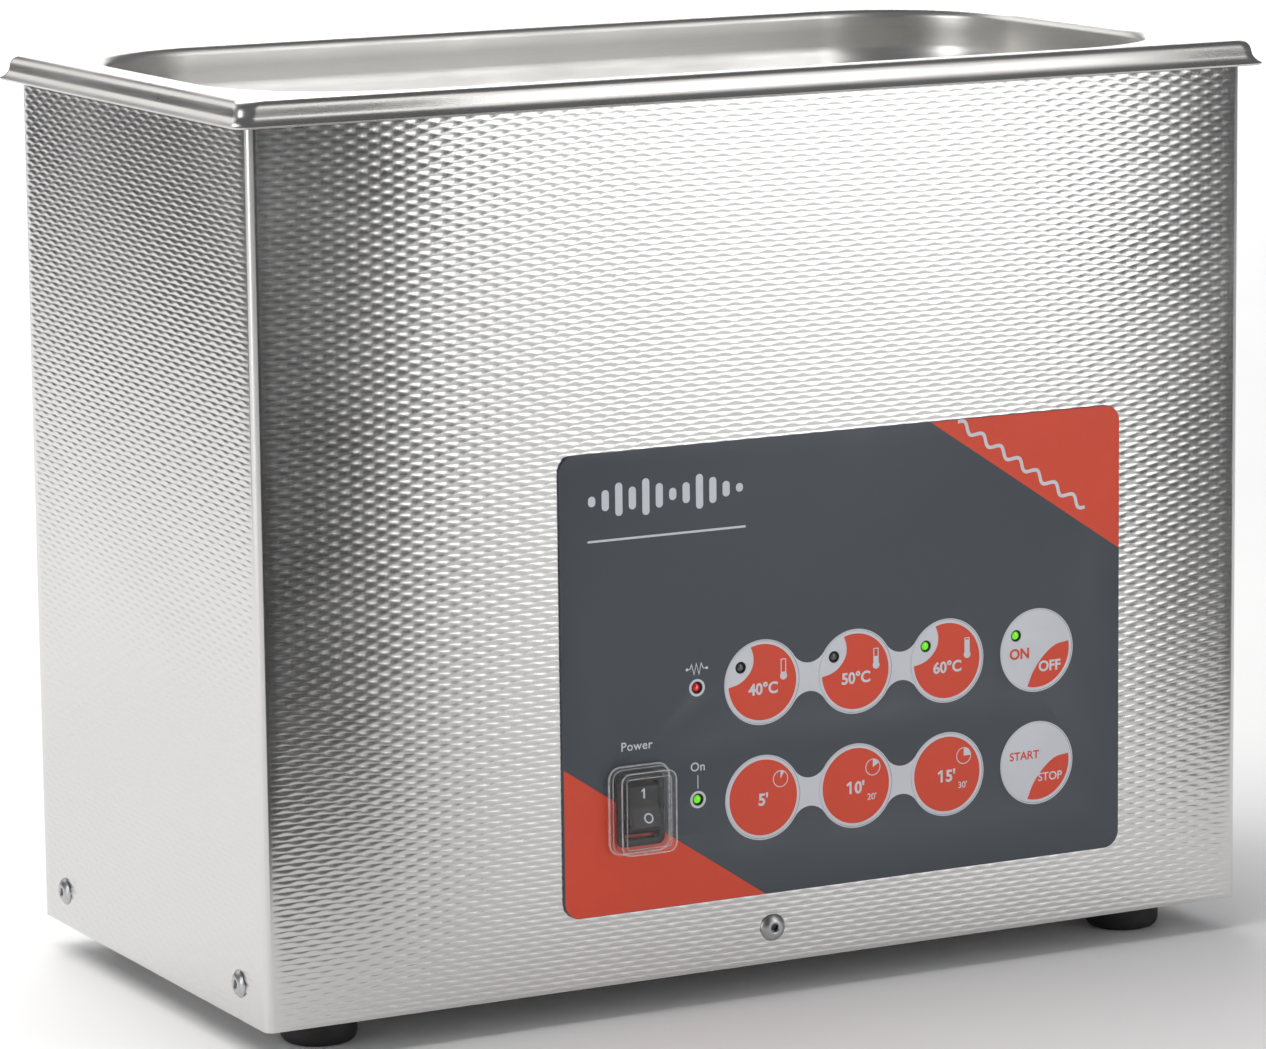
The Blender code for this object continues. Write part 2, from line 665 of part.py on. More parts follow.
for x, lr in ((-29.5, "left"), (101.5, "right")):
    obj("board_rail_" + lr,
        lambda bm, x=x: prism(bm, rounded(2.0, 31.0, 1.0, 2, x, 76.0), FRONT + SHEET + 0.3,
                              BOARD_Y0 - 0.3, front_map()), WHITE, (x, BOARD_Y0, 76.0))

# ---------------------------------------------------------------- generator board
GEN_Z0, GEN_Z1 = 24.0, 25.6
GEN_X, GEN_Y = 72.0, -8.0
GEN_HX, GEN_HY = 73.0, 54.0


def build_gen_board(bm):
    prism(bm, rect(GEN_HX, GEN_HY, GEN_X, GEN_Y), GEN_Z0, GEN_Z1, plan_map())


def gen_parts(bm):
    m = plan_map()
    z = GEN_Z1 - 0.5
    prism(bm, rect(10.0, 8.0, 22.0, 32.0), z, GEN_Z1 + 16.0, m)          # relay
    prism(bm, circle(9.0, 14, 52.0, 31.0), z, GEN_Z1 + 26.0, m)          # bulk capacitor
    prism(bm, circle(6.0, 12, 74.0, 32.0), z, GEN_Z1 + 18.0, m)
    prism(bm, rect(9.0, 4.0, 90.0, -42.0), z, GEN_Z1 + 14.0, m)          # film capacitor
    prism(bm, rect(14.0, 4.5, 17.0, -54.0), z, GEN_Z1 + 10.0, m)         # connector
    prism(bm, rect(4.5, 12.0, 6.0, 0.0), z, GEN_Z1 + 10.0, m)            # output terminals


gen = obj("generator_board", build_gen_board, BOARD, (GEN_X, GEN_Y, GEN_Z0))
cut(gen, "join_gen_parts", gen_parts, op="UNION")
for y, fb in ((-56.0, "front"), (40.0, "rear")):
    obj("generator_rail_" + fb,
        lambda bm, y=y: prism(bm, rounded(52.0, 3.0, 1.0, 2, GEN_X, y), BASE_Z0 + SHEET + 0.3,
                              GEN_Z0 - 0.3, plan_map()), WHITE, (GEN_X, y, BASE_Z0))


def build_heatsink(bm):
    fins, pitch, fin, root, top = 7, 6.0, 1.8, 4.0, 28.0
    x0 = 120.0 - (fins - 1) * pitch / 2
    pts = [(x0 - fin / 2, 0.0)]
    for k in range(fins):
        x = x0 + pitch * k
        if k:
            pts.append((x - fin / 2, root))
        pts += [(x - fin / 2, top), (x + fin / 2, top)]
        if k < fins - 1:
            pts.append((x + fin / 2, root))
    pts.append((x0 + (fins - 1) * pitch + fin / 2, 0.0))
    prism(bm, pts, -38.0, 14.0, lambda u, v, w: (u, w, GEN_Z1 + 0.3 + v))


obj("heatsink", build_heatsink, ALU, (120.0, -12.0, GEN_Z1), smooth=False)


def build_transformer(bm):
    m = plan_map(36.0, -18.0)
    z = GEN_Z1 + 0.3
    seq = [(17.0, 14.0, 1.0, z), (17.0, 14.0, 1.0, z + 5), (13.0, 17.5, 4.0, z + 6),
           (13.0, 17.5, 4.0, z + 20), (17.0, 14.0, 1.0, z + 21), (17.0, 14.0, 1.0, z + 26)]
    loft(bm, [[m(u, v, w) for u, v in rounded(a, b, r, 3)] for a, b, r, w in seq])


obj("transformer", build_transformer, CERAMIC, (36.0, -18.0, GEN_Z1))

# ---------------------------------------------------------------- transducers
FACE = TANK_FLOOR - TANK_T - 0.3
HORN_END, STACK_END, TAIL_END = FACE - 25.5, FACE - 38.2, FACE - 54.0
for x, lr in zip(TRANSDUCER_X, ("left", "right")):
    m = plan_map(x, 0.0)
    horn = [(0.0, FACE), (29.5, FACE), (29.5, FACE - 3.5), (19.0, FACE - 16.0), (19.0, HORN_END),
            (5.4, HORN_END), (5.4, HORN_END + 12.5), (0.0, HORN_END + 12.5)]
    obj("transducer_horn_" + lr, lambda bm, m=m, p=horn: lathe(bm, p, 18, m), ALU, (x, 0.0, FACE))
    z1, z0 = HORN_END - 0.3, STACK_END
    mid = (z0 + z1) / 2
    stack = [(7.5, z1), (20.0, z1), (20.0, z1 - 0.6), (19.0, z1 - 0.6), (19.0, mid + 0.3),
             (20.0, mid + 0.3), (20.0, mid - 0.3), (19.0, mid - 0.3), (19.0, z0 + 0.6),
             (20.0, z0 + 0.6), (20.0, z0), (7.5, z0)]
    obj("piezo_stack_" + lr, lambda bm, m=m, p=stack: lathe(bm, p, 16, m), CERAMIC, (x, 0.0, mid))
    tail = [(5.4, STACK_END - 0.3), (19.0, STACK_END - 0.3), (19.0, TAIL_END), (5.4, TAIL_END)]
    obj("transducer_tail_" + lr, lambda bm, m=m, p=tail: lathe(bm, p, 16, m), STEEL, (x, 0.0, TAIL_END))

    def bolt(bm, m=m):
        n = 12
        hexa = [(8.6 * c, 8.6 * s) for c, s in
                ((math.cos(math.radians(30 * k)), math.sin(math.radians(30 * k))) for k in range(n))]
        hexa = [(a, b) if k % 2 == 0 else (a * 0.866, b * 0.866) for k, (a, b) in enumerate(hexa)]
        shank = circle(5.0, n)
        top = HORN_END + 12.0
        seq = [(hexa, TAIL_END - 6.3), (hexa, TAIL_END - 0.3), (shank, TAIL_END - 0.3), (shank, top)]
        loft(bm, [[m(u, v, w) for u, v in pts] for pts, w in seq])
    obj("transducer_bolt_" + lr, bolt, STEEL, (x, 0.0, TAIL_END))

# ---------------------------------------------------------------- heaters, sensor
WALL_Y = TANK_D / 2 - TANK_STEP + TANK_T
for sy, fb in ((-1, "front"), (1, "rear")):
    a, b = sorted((sy * (WALL_Y + 0.3), sy * (WALL_Y + 1.9)))
    obj("heater_mat_" + fb,
        lambda bm, a=a, b=b: prism(bm, rounded(95.0, 22.0, 4.0, 3, 0.0, 160.0), a, b, front_map()),
        ORANGE, (0.0, a, 160.0))

WALL_X = TANK_L / 2 - TANK_STEP + TANK_T


def build_thermostat(bm):
    x = -(WALL_X + 0.3)
    prof = [(0.0, x), (10.0, x), (10.0, x - 1.2), (7.5, x - 1.6), (7.5, x - 6.0), (0.0, x - 6.0)]
    lathe(bm, prof, 16, side_map(0.0, 150.0))


obj("thermostat", build_thermostat, BLACK, (-(WALL_X + 0.3), 0.0, 150.0))

# ---------------------------------------------------------------- mains inlet
FL0, FL1 = BACK + 0.3, BACK + 2.3      # flange faces
BODY_IN = BACK - 24.5


def build_inlet(bm):
    m = front_map(INLET_X, INLET_Z)
    seq = [(INLET_FLANGE[0] / 2 - 0.5, INLET_FLANGE[1] / 2 - 0.5, 3.0, FL1),
           (INLET_FLANGE[0] / 2, INLET_FLANGE[1] / 2, 3.5, FL1 - 0.5),
           (INLET_FLANGE[0] / 2, INLET_FLANGE[1] / 2, 3.5, FL0),
           (INLET_BODY[0] / 2, INLET_BODY[1] / 2, 1.5, FL0),
           (INLET_BODY[0] / 2, INLET_BODY[1] / 2, 1.5, BODY_IN)]
    loft(bm, [[m(u, v, w) for u, v in rounded(a, b, r, 3)] for a, b, r, w in seq])


def socket_outline(g=0.0):
    hx, hz, c = SOCKET[0] / 2 - g, SOCKET[1] / 2 - g, 4.5
    return [(hx, SOCKET_Z - hz), (hx, SOCKET_Z + hz - c), (hx - c, SOCKET_Z + hz),
            (-hx + c, SOCKET_Z + hz), (-hx, SOCKET_Z + hz - c), (-hx, SOCKET_Z - hz)]


def inlet_hollows(bm):
    m = front_map(INLET_X, INLET_Z)
    prism(bm, socket_outline(), FL1 - 17.5, FL1 + 2.0, m)
    prism(bm, rect(DRAWER[0] / 2 + 0.3, DRAWER[1] / 2 + 0.3, 0.0, DRAWER_Z), FL1 - 21.6, FL1 + 2.0, m)
    for s in (-1, 1):
        prism(bm, circle(1.8, 10, s * INLET_SCREW_DX, 0.0), FL0 - 2.0, FL1 + 2.0, m)


def inlet_pins(bm):
    m = front_map(INLET_X, INLET_Z)
    for u, v in ((-7.0, SOCKET_Z - 2.0), (7.0, SOCKET_Z - 2.0), (0.0, SOCKET_Z + 2.0)):
        prism(bm, rect(1.0, 2.0, u, v), FL1 - 18.5, FL1 - 5.5, m)


inlet = obj("mains_inlet", build_inlet, BLACK, (INLET_X, FL0, INLET_Z))
cut(inlet, "cut_inlet_hollows", inlet_hollows)
cut(inlet, "join_inlet_pins", inlet_pins, op="UNION")

for s, lr in ((-1, "left"), (1, "right")):
    prof = [(0.0, FL1 + 1.7), (1.6, FL1 + 1.55), (2.8, FL1 + 0.7), (2.9, FL1 + 0.15), (1.45, FL1 + 0.15),
            (1.45, FL1 - 9.0), (0.0, FL1 - 9.0)]
    x = INLET_X + s * INLET_SCREW_DX
    obj("inlet_screw_" + lr, lambda bm, x=x, p=prof: lathe(bm, p, 12, front_map(x, INLET_Z)),
        STEEL, (x, FL1, INLET_Z))


def build_drawer(bm):
    m = front_map(INLET_X, INLET_Z + DRAWER_Z)
    hx, hz = DRAWER[0] / 2, DRAWER[1] / 2
    seq = [(hx, hz, 0.5, FL1 - 21.2), (hx, hz, 0.5, FL1 + 0.3), (hx + 1.2, hz + 1.0, 1.0, FL1 + 0.3),
           (hx + 1.2, hz + 1.0, 1.0, FL1 + 1.2), (hx + 0.8, hz + 0.6, 0.8, FL1 + 1.6)]
    loft(bm, [[m(u, v, w) for u, v in rounded(a, b, r, 2)] for a, b, r, w in seq])


def drawer_hollow(bm):
    # tray for the fuse, open upwards
    prism(bm, rect(4.0, 10.2, INLET_X, FL1 - 10.6), INLET_Z + DRAWER_Z - 2.7,
          INLET_Z + DRAWER_Z + 6.0, plan_map())


slide = pivot("slide_fuse_drawer", (INLET_X, FL1, INLET_Z + DRAWER_Z))
drawer = obj("fuse_drawer", build_drawer, BLACK, (INLET_X, FL1, INLET_Z + DRAWER_Z), parent=slide)
cut(drawer, "cut_drawer_hollow", drawer_hollow)


def build_fuse(bm):
    z = INLET_Z + DRAWER_Z + 0.1
    y0, y1 = FL1 - 20.4, FL1 - 0.8
    prof = [(0.0, y0), (2.6, y0), (2.6, y0 + 4.5), (2.3, y0 + 4.5), (2.3, y1 - 4.5), (2.6, y1 - 4.5),
            (2.6, y1), (0.0, y1)]
    lathe(bm, prof, 12, front_map(INLET_X, z))


obj("fuse", build_fuse, ((0.75, 0.75, 0.72), 0.15), (INLET_X, FL1 - 10.6, INLET_Z + DRAWER_Z), parent=slide)

# ---------------------------------------------------------------- wiring
HARNESS = ((INLET_X - 6.0, BODY_IN - 1.0, 50.0), (INLET_X - 6.0, BODY_IN - 6.0, 50.0), (88.0, 46.0, 60.0),
           (30.0, 48.0, 66.0), (-20.0, 45.0, 40.0), (-40.0, 10.0, 26.0), (-46.0, -30.0, 40.0),
           (SWITCH_X, -50.0, SWITCH_Z - 2.0), (SWITCH_X, SWITCH_BACK + 4.0, SWITCH_Z),
           (SWITCH_X, SWITCH_BACK + 0.6, SWITCH_Z))
obj("mains_harness", lambda bm: tube(bm, smooth_path(HARNESS, 4), circle(2.6, 7)), GREY,
    HARNESS[0])
LEAD = ((1.2, 0.0, 31.0), (-6.0, 0.0, 33.0), (-18.0, 4.0, 50.0), (-30.0, 6.0, 72.0),
        (-41.0, 3.0, 84.0), (-44.6, 1.0, 85.4))
obj("transducer_lead", lambda bm: tube(bm, smooth_path(LEAD, 4), circle(1.6, 6)), ORANGE, LEAD[0])
RIBBON = ((30.0, BOARD_Y1 + 4.0, 46.2), (30.0, BOARD_Y1 + 5.5, 41.0), (26.0, -61.5, 40.0),
          (19.0, -57.0, 43.0), (17.0, -54.6, 41.0), (17.0, -54.0, GEN_Z1 + 10.9))
obj("panel_lead", lambda bm: tube(bm, smooth_path(RIBBON, 3), circle(1.6, 6)), GREY, RIBBON[0])
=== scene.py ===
"""Looks of the bench-top ultrasonic cleaner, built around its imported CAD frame.

All lengths below are in millimetres in the row frame (bench at 0, front panel
towards -Y); meshes are written in metres.
"""

import json
import math

import bmesh
import bpy
import numpy as np
from mathutils import Matrix, Vector


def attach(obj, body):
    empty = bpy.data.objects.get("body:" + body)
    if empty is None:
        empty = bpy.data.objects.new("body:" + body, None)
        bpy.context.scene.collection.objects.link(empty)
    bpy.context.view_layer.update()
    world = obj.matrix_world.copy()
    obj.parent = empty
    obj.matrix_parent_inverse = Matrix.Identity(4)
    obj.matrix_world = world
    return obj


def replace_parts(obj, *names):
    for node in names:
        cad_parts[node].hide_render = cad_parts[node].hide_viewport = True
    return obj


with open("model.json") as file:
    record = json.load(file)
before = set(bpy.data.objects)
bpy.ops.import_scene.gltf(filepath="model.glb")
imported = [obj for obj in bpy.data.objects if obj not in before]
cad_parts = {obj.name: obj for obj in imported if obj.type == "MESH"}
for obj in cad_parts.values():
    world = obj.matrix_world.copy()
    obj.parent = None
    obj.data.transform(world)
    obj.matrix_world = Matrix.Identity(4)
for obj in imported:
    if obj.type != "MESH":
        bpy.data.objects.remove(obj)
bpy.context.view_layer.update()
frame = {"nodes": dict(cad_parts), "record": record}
MM = 0.001
SCENE = bpy.context.scene

# ------------------------------------------------------------------ camera
cam_data = bpy.data.cameras.new("camera")
cam_data.sensor_fit = "HORIZONTAL"
cam_data.sensor_width = 36.0
cam_data.lens = 163.84
cam_data.clip_start, cam_data.clip_end = 0.05, 60.0
cam = bpy.data.objects.new("camera", cam_data)
SCENE.collection.objects.link(cam)
RIGHT = Vector((0.884493385, -0.466419674, -0.011141743))
UP = Vector((0.089943043, 0.147032892, 0.985033795))
BACK_AXIS = Vector((-0.457800939, -0.872257999, 0.172000825))
cam.matrix_world = Matrix(((RIGHT.x, UP.x, BACK_AXIS.x, -0.787478),
                           (RIGHT.y, UP.y, BACK_AXIS.y, -1.498066),
                           (RIGHT.z, UP.z, BACK_AXIS.z, 0.421921),
                           (0.0, 0.0, 0.0, 1.0)))
SCENE.camera = cam

# ------------------------------------------------------------------ dimensions
BODY_W, BODY_D = 320.0, 163.0
FOOT_H, HOUSING_TOP = 10.0, 266.0
BEND_R = 2.5
RIM_TOP = 268.8
TANK_L, TANK_D, TANK_H, TANK_T, TANK_R = 301.0, 151.0, 150.0, 1.0, 45.0
TANK_FLOOR = RIM_TOP - TANK_H
FRONT, BACK = -BODY_D / 2, BODY_D / 2
PANEL = (-67.65, 117.35, 30.8, 164.0)
PANEL_FACE = FRONT - 1.1
KEY_X, KEY_Z = (-3.3, 27.4, 58.1, 88.8), (93.2, 59.4)
LAMP_X, LAMP_Z = -24.6, (93.8, 61.2)
SWITCH = (-44.1, 60.9)
INLET = (105.0, 46.0)
FL0, FL1 = BACK + 0.3, BACK + 2.3


# ------------------------------------------------------------------ outlines
def rounded(hx, hy, r, n, cx=0.0, cy=0.0):
    pts = []
    for q, (sx, sy) in enumerate(((1, 1), (-1, 1), (-1, -1), (1, -1))):
        for k in range(n + 1):
            a = math.radians(90.0 * q + 90.0 * k / n)
            pts.append((cx + sx * (hx - r) + r * math.cos(a), cy + sy * (hy - r) + r * math.sin(a)))
    return pts


def circle(r, n, cx=0.0, cy=0.0):
    return [(cx + r * math.cos(2 * math.pi * k / n), cy + r * math.sin(2 * math.pi * k / n))
            for k in range(n)]


def arc(r, a0, a1, n, cx=0.0, cy=0.0):
    return [(cx + r * math.cos(math.radians(a0 + (a1 - a0) * k / n)),
             cy + r * math.sin(math.radians(a0 + (a1 - a0) * k / n))) for k in range(n + 1)]


def through(pts, per=8):
    """Catmull-Rom curve through 2-D points."""
    p = [np.array(q, float) for q in pts]
    p = [2 * p[0] - p[1]] + p + [2 * p[-1] - p[-2]]
    out = []
    for i in range(1, len(p) - 2):
        for k in range(per):
            t = k / per
            out.append(tuple(0.5 * (2 * p[i] + (p[i + 1] - p[i - 1]) * t
                                    + (2 * p[i - 1] - 5 * p[i] + 4 * p[i + 1] - p[i + 2]) * t * t
                                    + (3 * p[i] - p[i - 1] - 3 * p[i + 1] + p[i + 2]) * t ** 3)))
    out.append(tuple(p[-2]))
    return out


def stroke(pts, w):
    """Outline of a line of width w through the points."""
    p = [np.array(q, float) for q in pts]
    left, right = [], []
    for i, q in enumerate(p):
        d0 = p[i] - p[i - 1] if i else p[1] - p[0]
        d1 = p[i + 1] - p[i] if i < len(p) - 1 else d0
        d0, d1 = d0 / np.hypot(*d0), d1 / np.hypot(*d1)
        m = d0 + d1
        m = m / max(np.hypot(*m), 1e-6)
        nrm = np.array((-m[1], m[0]))
        k = w / 2 / max(0.35, float(np.dot(nrm, np.array((-d1[1], d1[0])))))
        left.append(tuple(q + nrm * k))
        right.append(tuple(q - nrm * k))
    return left + right[::-1]


def moved(outlines, dx, dy):
    return [[(x + dx, y + dy) for x, y in o] for o in outlines]


# ------------------------------------------------------------------ meshes
def place_front(u, v, w):
    return (u, w, v)


def place_side(u, v, w):
    return (w, u, v)


def place_plan(u, v, w):
    return (u, v, w)


def loft(bm, loops, ring=False, caps=True):
    rows = [[bm.verts.new([c * MM for c in p]) for p in loop] for loop in loops]
    n = len(rows[0])
    pairs = list(zip(rows, rows[1:]))
    if ring:
        pairs.append((rows[-1], rows[0]))
    for a, b in pairs:
        for k in range(n):
            bm.faces.new((a[k], a[(k + 1) % n], b[(k + 1) % n], b[k]))
    if caps and not ring:
        bm.faces.new(rows[0])
        bm.faces.new(list(reversed(rows[-1])))


def prism(bm, pts, w0, w1, m):
    loft(bm, [[m(u, v, w) for u, v in pts] for w in (w0, w1)])


def lathe(bm, profile, n, m):
    rows = []
    for r, w in profile:
        if r < 1e-6:
            rows.append([bm.verts.new([c * MM for c in m(0.0, 0.0, w)])])
        else:
            rows.append([bm.verts.new([c * MM for c in m(u, v, w)]) for u, v in circle(r, n)])
    closed = len(rows[0]) > 1 and len(rows[-1]) > 1
    for a, b in list(zip(rows, rows[1:])) + ([(rows[-1], rows[0])] if closed else []):
        for k in range(n):
            j = (k + 1) % n
            if len(a) == 1:
                bm.faces.new((a[0], b[j], b[k]))
            elif len(b) == 1:
                bm.faces.new((a[k], a[j], b[0]))
            else:
                bm.faces.new((a[k], a[j], b[j], b[k]))


def at(m, x, y):
    return lambda u, v, w: m(x + u, y + v, w)


def smooth_profile(profile, per=4):
    return through(profile, per)


def bevelled(profile, r, n=4):
    """Round each inner corner of an open polyline by about r."""
    p = [np.array(q, float) for q in profile]
    out = [tuple(p[0])]
    for i in range(1, len(p) - 1):
        a, b = p[i - 1] - p[i], p[i + 1] - p[i]
        la, lb = np.hypot(*a), np.hypot(*b)
        cut = min(r, la * 0.45, lb * 0.45)
        s, e = p[i] + a / la * cut, p[i] + b / lb * cut
        for k in range(n + 1):
            t = k / n
            out.append(tuple((1 - t) ** 2 * s + 2 * t * (1 - t) * p[i] + t * t * e))
    out.append(tuple(p[-1]))
    return out


def piece(name, build, mat, body="root", sharp=35.0, replaces=(), bevel=0.0):
    bm = bmesh.new()
    build(bm)
    bmesh.ops.recalc_face_normals(bm, faces=bm.faces)
    me = bpy.data.meshes.new(name)
    bm.to_mesh(me)
    bm.free()
    return dress(name, me, mat, body, sharp, replaces, bevel)


def dress(name, me, mat, body="root", sharp=35.0, replaces=(), bevel=0.0):
    ob = bpy.data.objects.new(name, me)
    SCENE.collection.objects.link(ob)
    me.materials.clear()
    me.materials.append(mat)
    if bevel:
        b = ob.modifiers.new("bevel", "BEVEL")
        b.width = bevel * MM
        b.segments = 3
        b.limit_method = "ANGLE"
        b.angle_limit = math.radians(35)
        dg = bpy.context.evaluated_depsgraph_get()
        new = bpy.data.meshes.new_from_object(ob.evaluated_get(dg))
        ob.modifiers.clear()
        ob.data = new
        me = new
    me.shade_smooth()
    me.set_sharp_from_angle(angle=math.radians(sharp))
    if replaces:
        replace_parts(ob, *replaces)
    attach(ob, body)
    return ob


def plate_mesh(name, outlines, w_back, w_front, bevel=0.0, m=None):
    """Flat plate cut from outlines (holes by even-odd fill); the front side faces -Y."""
    cu = bpy.data.curves.new(name + "_outline", "CURVE")
    cu.dimensions = "2D"
    cu.fill_mode = "BOTH"
    t = abs(w_back - w_front)
    cu.extrude = t / 2 - bevel
    cu.bevel_depth = bevel
    cu.bevel_resolution = 2
    cu.offset = -bevel
    for o in outlines:
        s = cu.splines.new("POLY")
        s.points.add(len(o) - 1)
        s.points.foreach_set("co", [c for x, y in o for c in (x, y, 0.0, 1.0)])
        s.use_cyclic_u = True
    tmp = bpy.data.objects.new(name + "_tmp", cu)
    SCENE.collection.objects.link(tmp)
    dg = bpy.context.evaluated_depsgraph_get()
    me = bpy.data.meshes.new_from_object(tmp.evaluated_get(dg))
    bpy.data.objects.remove(tmp)
    bpy.data.curves.remove(cu)
    mid = (w_back + w_front) / 2
    co = np.zeros(len(me.vertices) * 3)
    me.vertices.foreach_get("co", co)
    co = co.reshape(-1, 3)
    front = m or (lambda c: np.stack((c[:, 0], mid - c[:, 2] * (1 if w_front < w_back else -1),
                                      c[:, 1] if w_front < w_back else c[:, 1]), 1))
    out = front(co)
    if w_front > w_back:                       # seen from +Y: mirror across
        me.flip_normals()
    me.vertices.foreach_set("co", (out * MM).ravel())
    me.name = name
    bm = bmesh.new()
    bm.from_mesh(me)
    bmesh.ops.remove_doubles(bm, verts=bm.verts, dist=1e-7)
    bmesh.ops.recalc_face_normals(bm, faces=bm.faces)
    bm.to_mesh(me)
    bm.free()
    return me


def plate(name, outlines, w_back, w_front, mat, body="root", bevel=0.0, replaces=()):
    return dress(name, plate_mesh(name, outlines, w_back, w_front, bevel), mat, body,
                 30.0, replaces)


PRINT = 0.03


def printed(name, outlines, level, mat, body="root"):
    """Ink film number `level` on the panel or key face."""
    y = PANEL_FACE
    return plate(name, outlines, y + 0.01, y - PRINT * level, mat, body)


def text_outline(word, cap, x, z, angle=0.0, spacing=1.0, weight=0.0):
    """Mesh of a word in mm, centred on x, z, with capitals `cap` high."""
    cu = bpy.data.curves.new("word", "FONT")
    cu.body = word
    cu.size = 10.0
    cu.space_character = spacing
    cu.offset = weight
    cu.extrude = 0.5
    cu.resolution_u = 6
    tmp = bpy.data.objects.new("word_tmp", cu)
    SCENE.collection.objects.link(tmp)
    dg = bpy.context.evaluated_depsgraph_get()
    me = bpy.data.meshes.new_from_object(tmp.evaluated_get(dg))
    bpy.data.objects.remove(tmp)
    bpy.data.curves.remove(cu)
    co = np.zeros(len(me.vertices) * 3)
    me.vertices.foreach_get("co", co)
    co = co.reshape(-1, 3)
    lo, hi = co.min(0), co.max(0)
    k = cap / 7.2
    cx = (lo[0] + hi[0]) / 2
    p = np.stack(((co[:, 0] - cx) * k, (co[:, 1] - 3.6) * k), 1)
    a = math.radians(angle)
    q = np.stack((p[:, 0] * math.cos(a) - p[:, 1] * math.sin(a) + x,
                  p[:, 0] * math.sin(a) + p[:, 1] * math.cos(a) + z), 1)
    return me, q, co[:, 2]


def lettering(name, words, level, mat, body="root"):
    """Words printed on the panel face: (text, capital height, x, z, options)."""
    bm = bmesh.new()
    y = PANEL_FACE
    for word, cap, x, z, opt in words:
        me, q, depth = text_outline(word, cap, x, z, **opt)
        yy = np.where(depth > 0, y - PRINT * level, y + 0.01)
        me.vertices.foreach_set("co", (np.stack((q[:, 0], yy, q[:, 1]), 1) * MM).ravel())
        bm.from_mesh(me)
        bpy.data.meshes.remove(me)
    bmesh.ops.remove_doubles(bm, verts=bm.verts, dist=1e-7)
    bmesh.ops.recalc_face_normals(bm, faces=bm.faces)
    me = bpy.data.meshes.new(name)
    bm.to_mesh(me)
    bm.free()
    return dress(name, me, mat, body, 30.0)


# ------------------------------------------------------------------ materials
class Nodes:
    """A material under construction: object coordinates are metres in the row frame."""

    def __init__(self, name):
        self.mat = bpy.data.materials.new(name)
        self.mat.use_nodes = True
        self.t = self.mat.node_tree
        self.p = self.t.nodes["Principled BSDF"]
        self.coord = self.t.nodes.new("ShaderNodeTexCoord").outputs["Object"]

    def link(self, a, b):
        self.t.links.new(a, b)

    def scaled(self, stretch):
        m = self.t.nodes.new("ShaderNodeMapping")
        m.inputs["Scale"].default_value = stretch
        self.link(self.coord, m.inputs["Vector"])
        return m.outputs["Vector"]

    def noise(self, per_mm, detail=3.0, rough=0.55, stretch=None, distortion=0.0):
        n = self.t.nodes.new("ShaderNodeTexNoise")
        n.inputs["Scale"].default_value = per_mm * 1000.0
        n.inputs["Detail"].default_value = detail
        n.inputs["Roughness"].default_value = rough
        n.inputs["Distortion"].default_value = distortion
        self.link(self.scaled(stretch) if stretch else self.coord, n.inputs["Vector"])
        return n.outputs["Fac"]

    def voronoi(self, per_mm, feature="F1", stretch=None):
        n = self.t.nodes.new("ShaderNodeTexVoronoi")
        n.feature = feature
        n.inputs["Scale"].default_value = per_mm * 1000.0
        self.link(self.scaled(stretch) if stretch else self.coord, n.inputs["Vector"])
        return n.outputs["Distance"]

    def ramp(self, fac, stops):
        r = self.t.nodes.new("ShaderNodeValToRGB")
        e = r.color_ramp.elements
        while len(e) < len(stops):
            e.new(0.5)
        for el, (pos, col) in zip(e, stops):
            el.position = pos
            el.color = (*col, 1.0) if len(col) == 3 else col
        self.link(fac, r.inputs["Fac"])
        return r.outputs["Color"]

    def span(self, fac, lo, hi, f0=0.3, f1=0.7):
        n = self.t.nodes.new("ShaderNodeMapRange")
        n.inputs["From Min"].default_value = f0
        n.inputs["From Max"].default_value = f1
        n.inputs["To Min"].default_value = lo
        n.inputs["To Max"].default_value = hi
        self.link(fac, n.inputs["Value"])
        return n.outputs["Result"]

    def math(self, op, a, b):
        n = self.t.nodes.new("ShaderNodeMath")
        n.operation = op
        for i, v in enumerate((a, b)):
            if isinstance(v, (int, float)):
                n.inputs[i].default_value = v
            else:
                self.link(v, n.inputs[i])
        return n.outputs["Value"]

    def bump(self, height, mm, strength=1.0, under=None):
        n = self.t.nodes.new("ShaderNodeBump")
        n.inputs["Strength"].default_value = strength
        n.inputs["Distance"].default_value = mm * MM
        self.link(height, n.inputs["Height"])
        if under is not None:
            self.link(under, n.inputs["Normal"])
        return n.outputs["Normal"]

    def set(self, **kw):
        for k, v in kw.items():
            self.p.inputs[k.replace("_", " ")].default_value = v


def tint(c, k):
    return tuple(min(1.0, max(0.0, v * k)) for v in c)


def metal(name, base, rough, grain=(1.0, 1.0, 1.0), grain_mm=2.5, grain_depth=0.004,
          spread=0.10, cloud=0.05):
    """Satin metal: long brushing streaks, cloudy wear and a fine tooth."""
    n = Nodes(name)
    n.set(Metallic=1.0)
    streak = n.noise(grain_mm, 3.0, 0.6, stretch=grain)
    clouds = n.noise(0.018, 3.0, 0.5)
    fine = n.noise(6.0, 2.0, 0.5)
    mix = n.math("ADD", n.math("MULTIPLY", streak, 0.6), n.math("MULTIPLY", clouds, 0.4))
    n.link(n.ramp(mix, ((0.30, tint(base, 1 - spread)), (0.55, base), (0.75, tint(base, 1 + spread * 0.6)))),
           n.p.inputs["Base Color"])
    r = n.math("ADD", n.span(clouds, rough - cloud, rough + cloud), n.span(streak, -0.03, 0.03))
    n.link(r, n.p.inputs["Roughness"])
    b = n.bump(streak, grain_depth)
    n.link(n.bump(fine, grain_depth * 0.35, under=b), n.p.inputs["Normal"])
    return n.mat


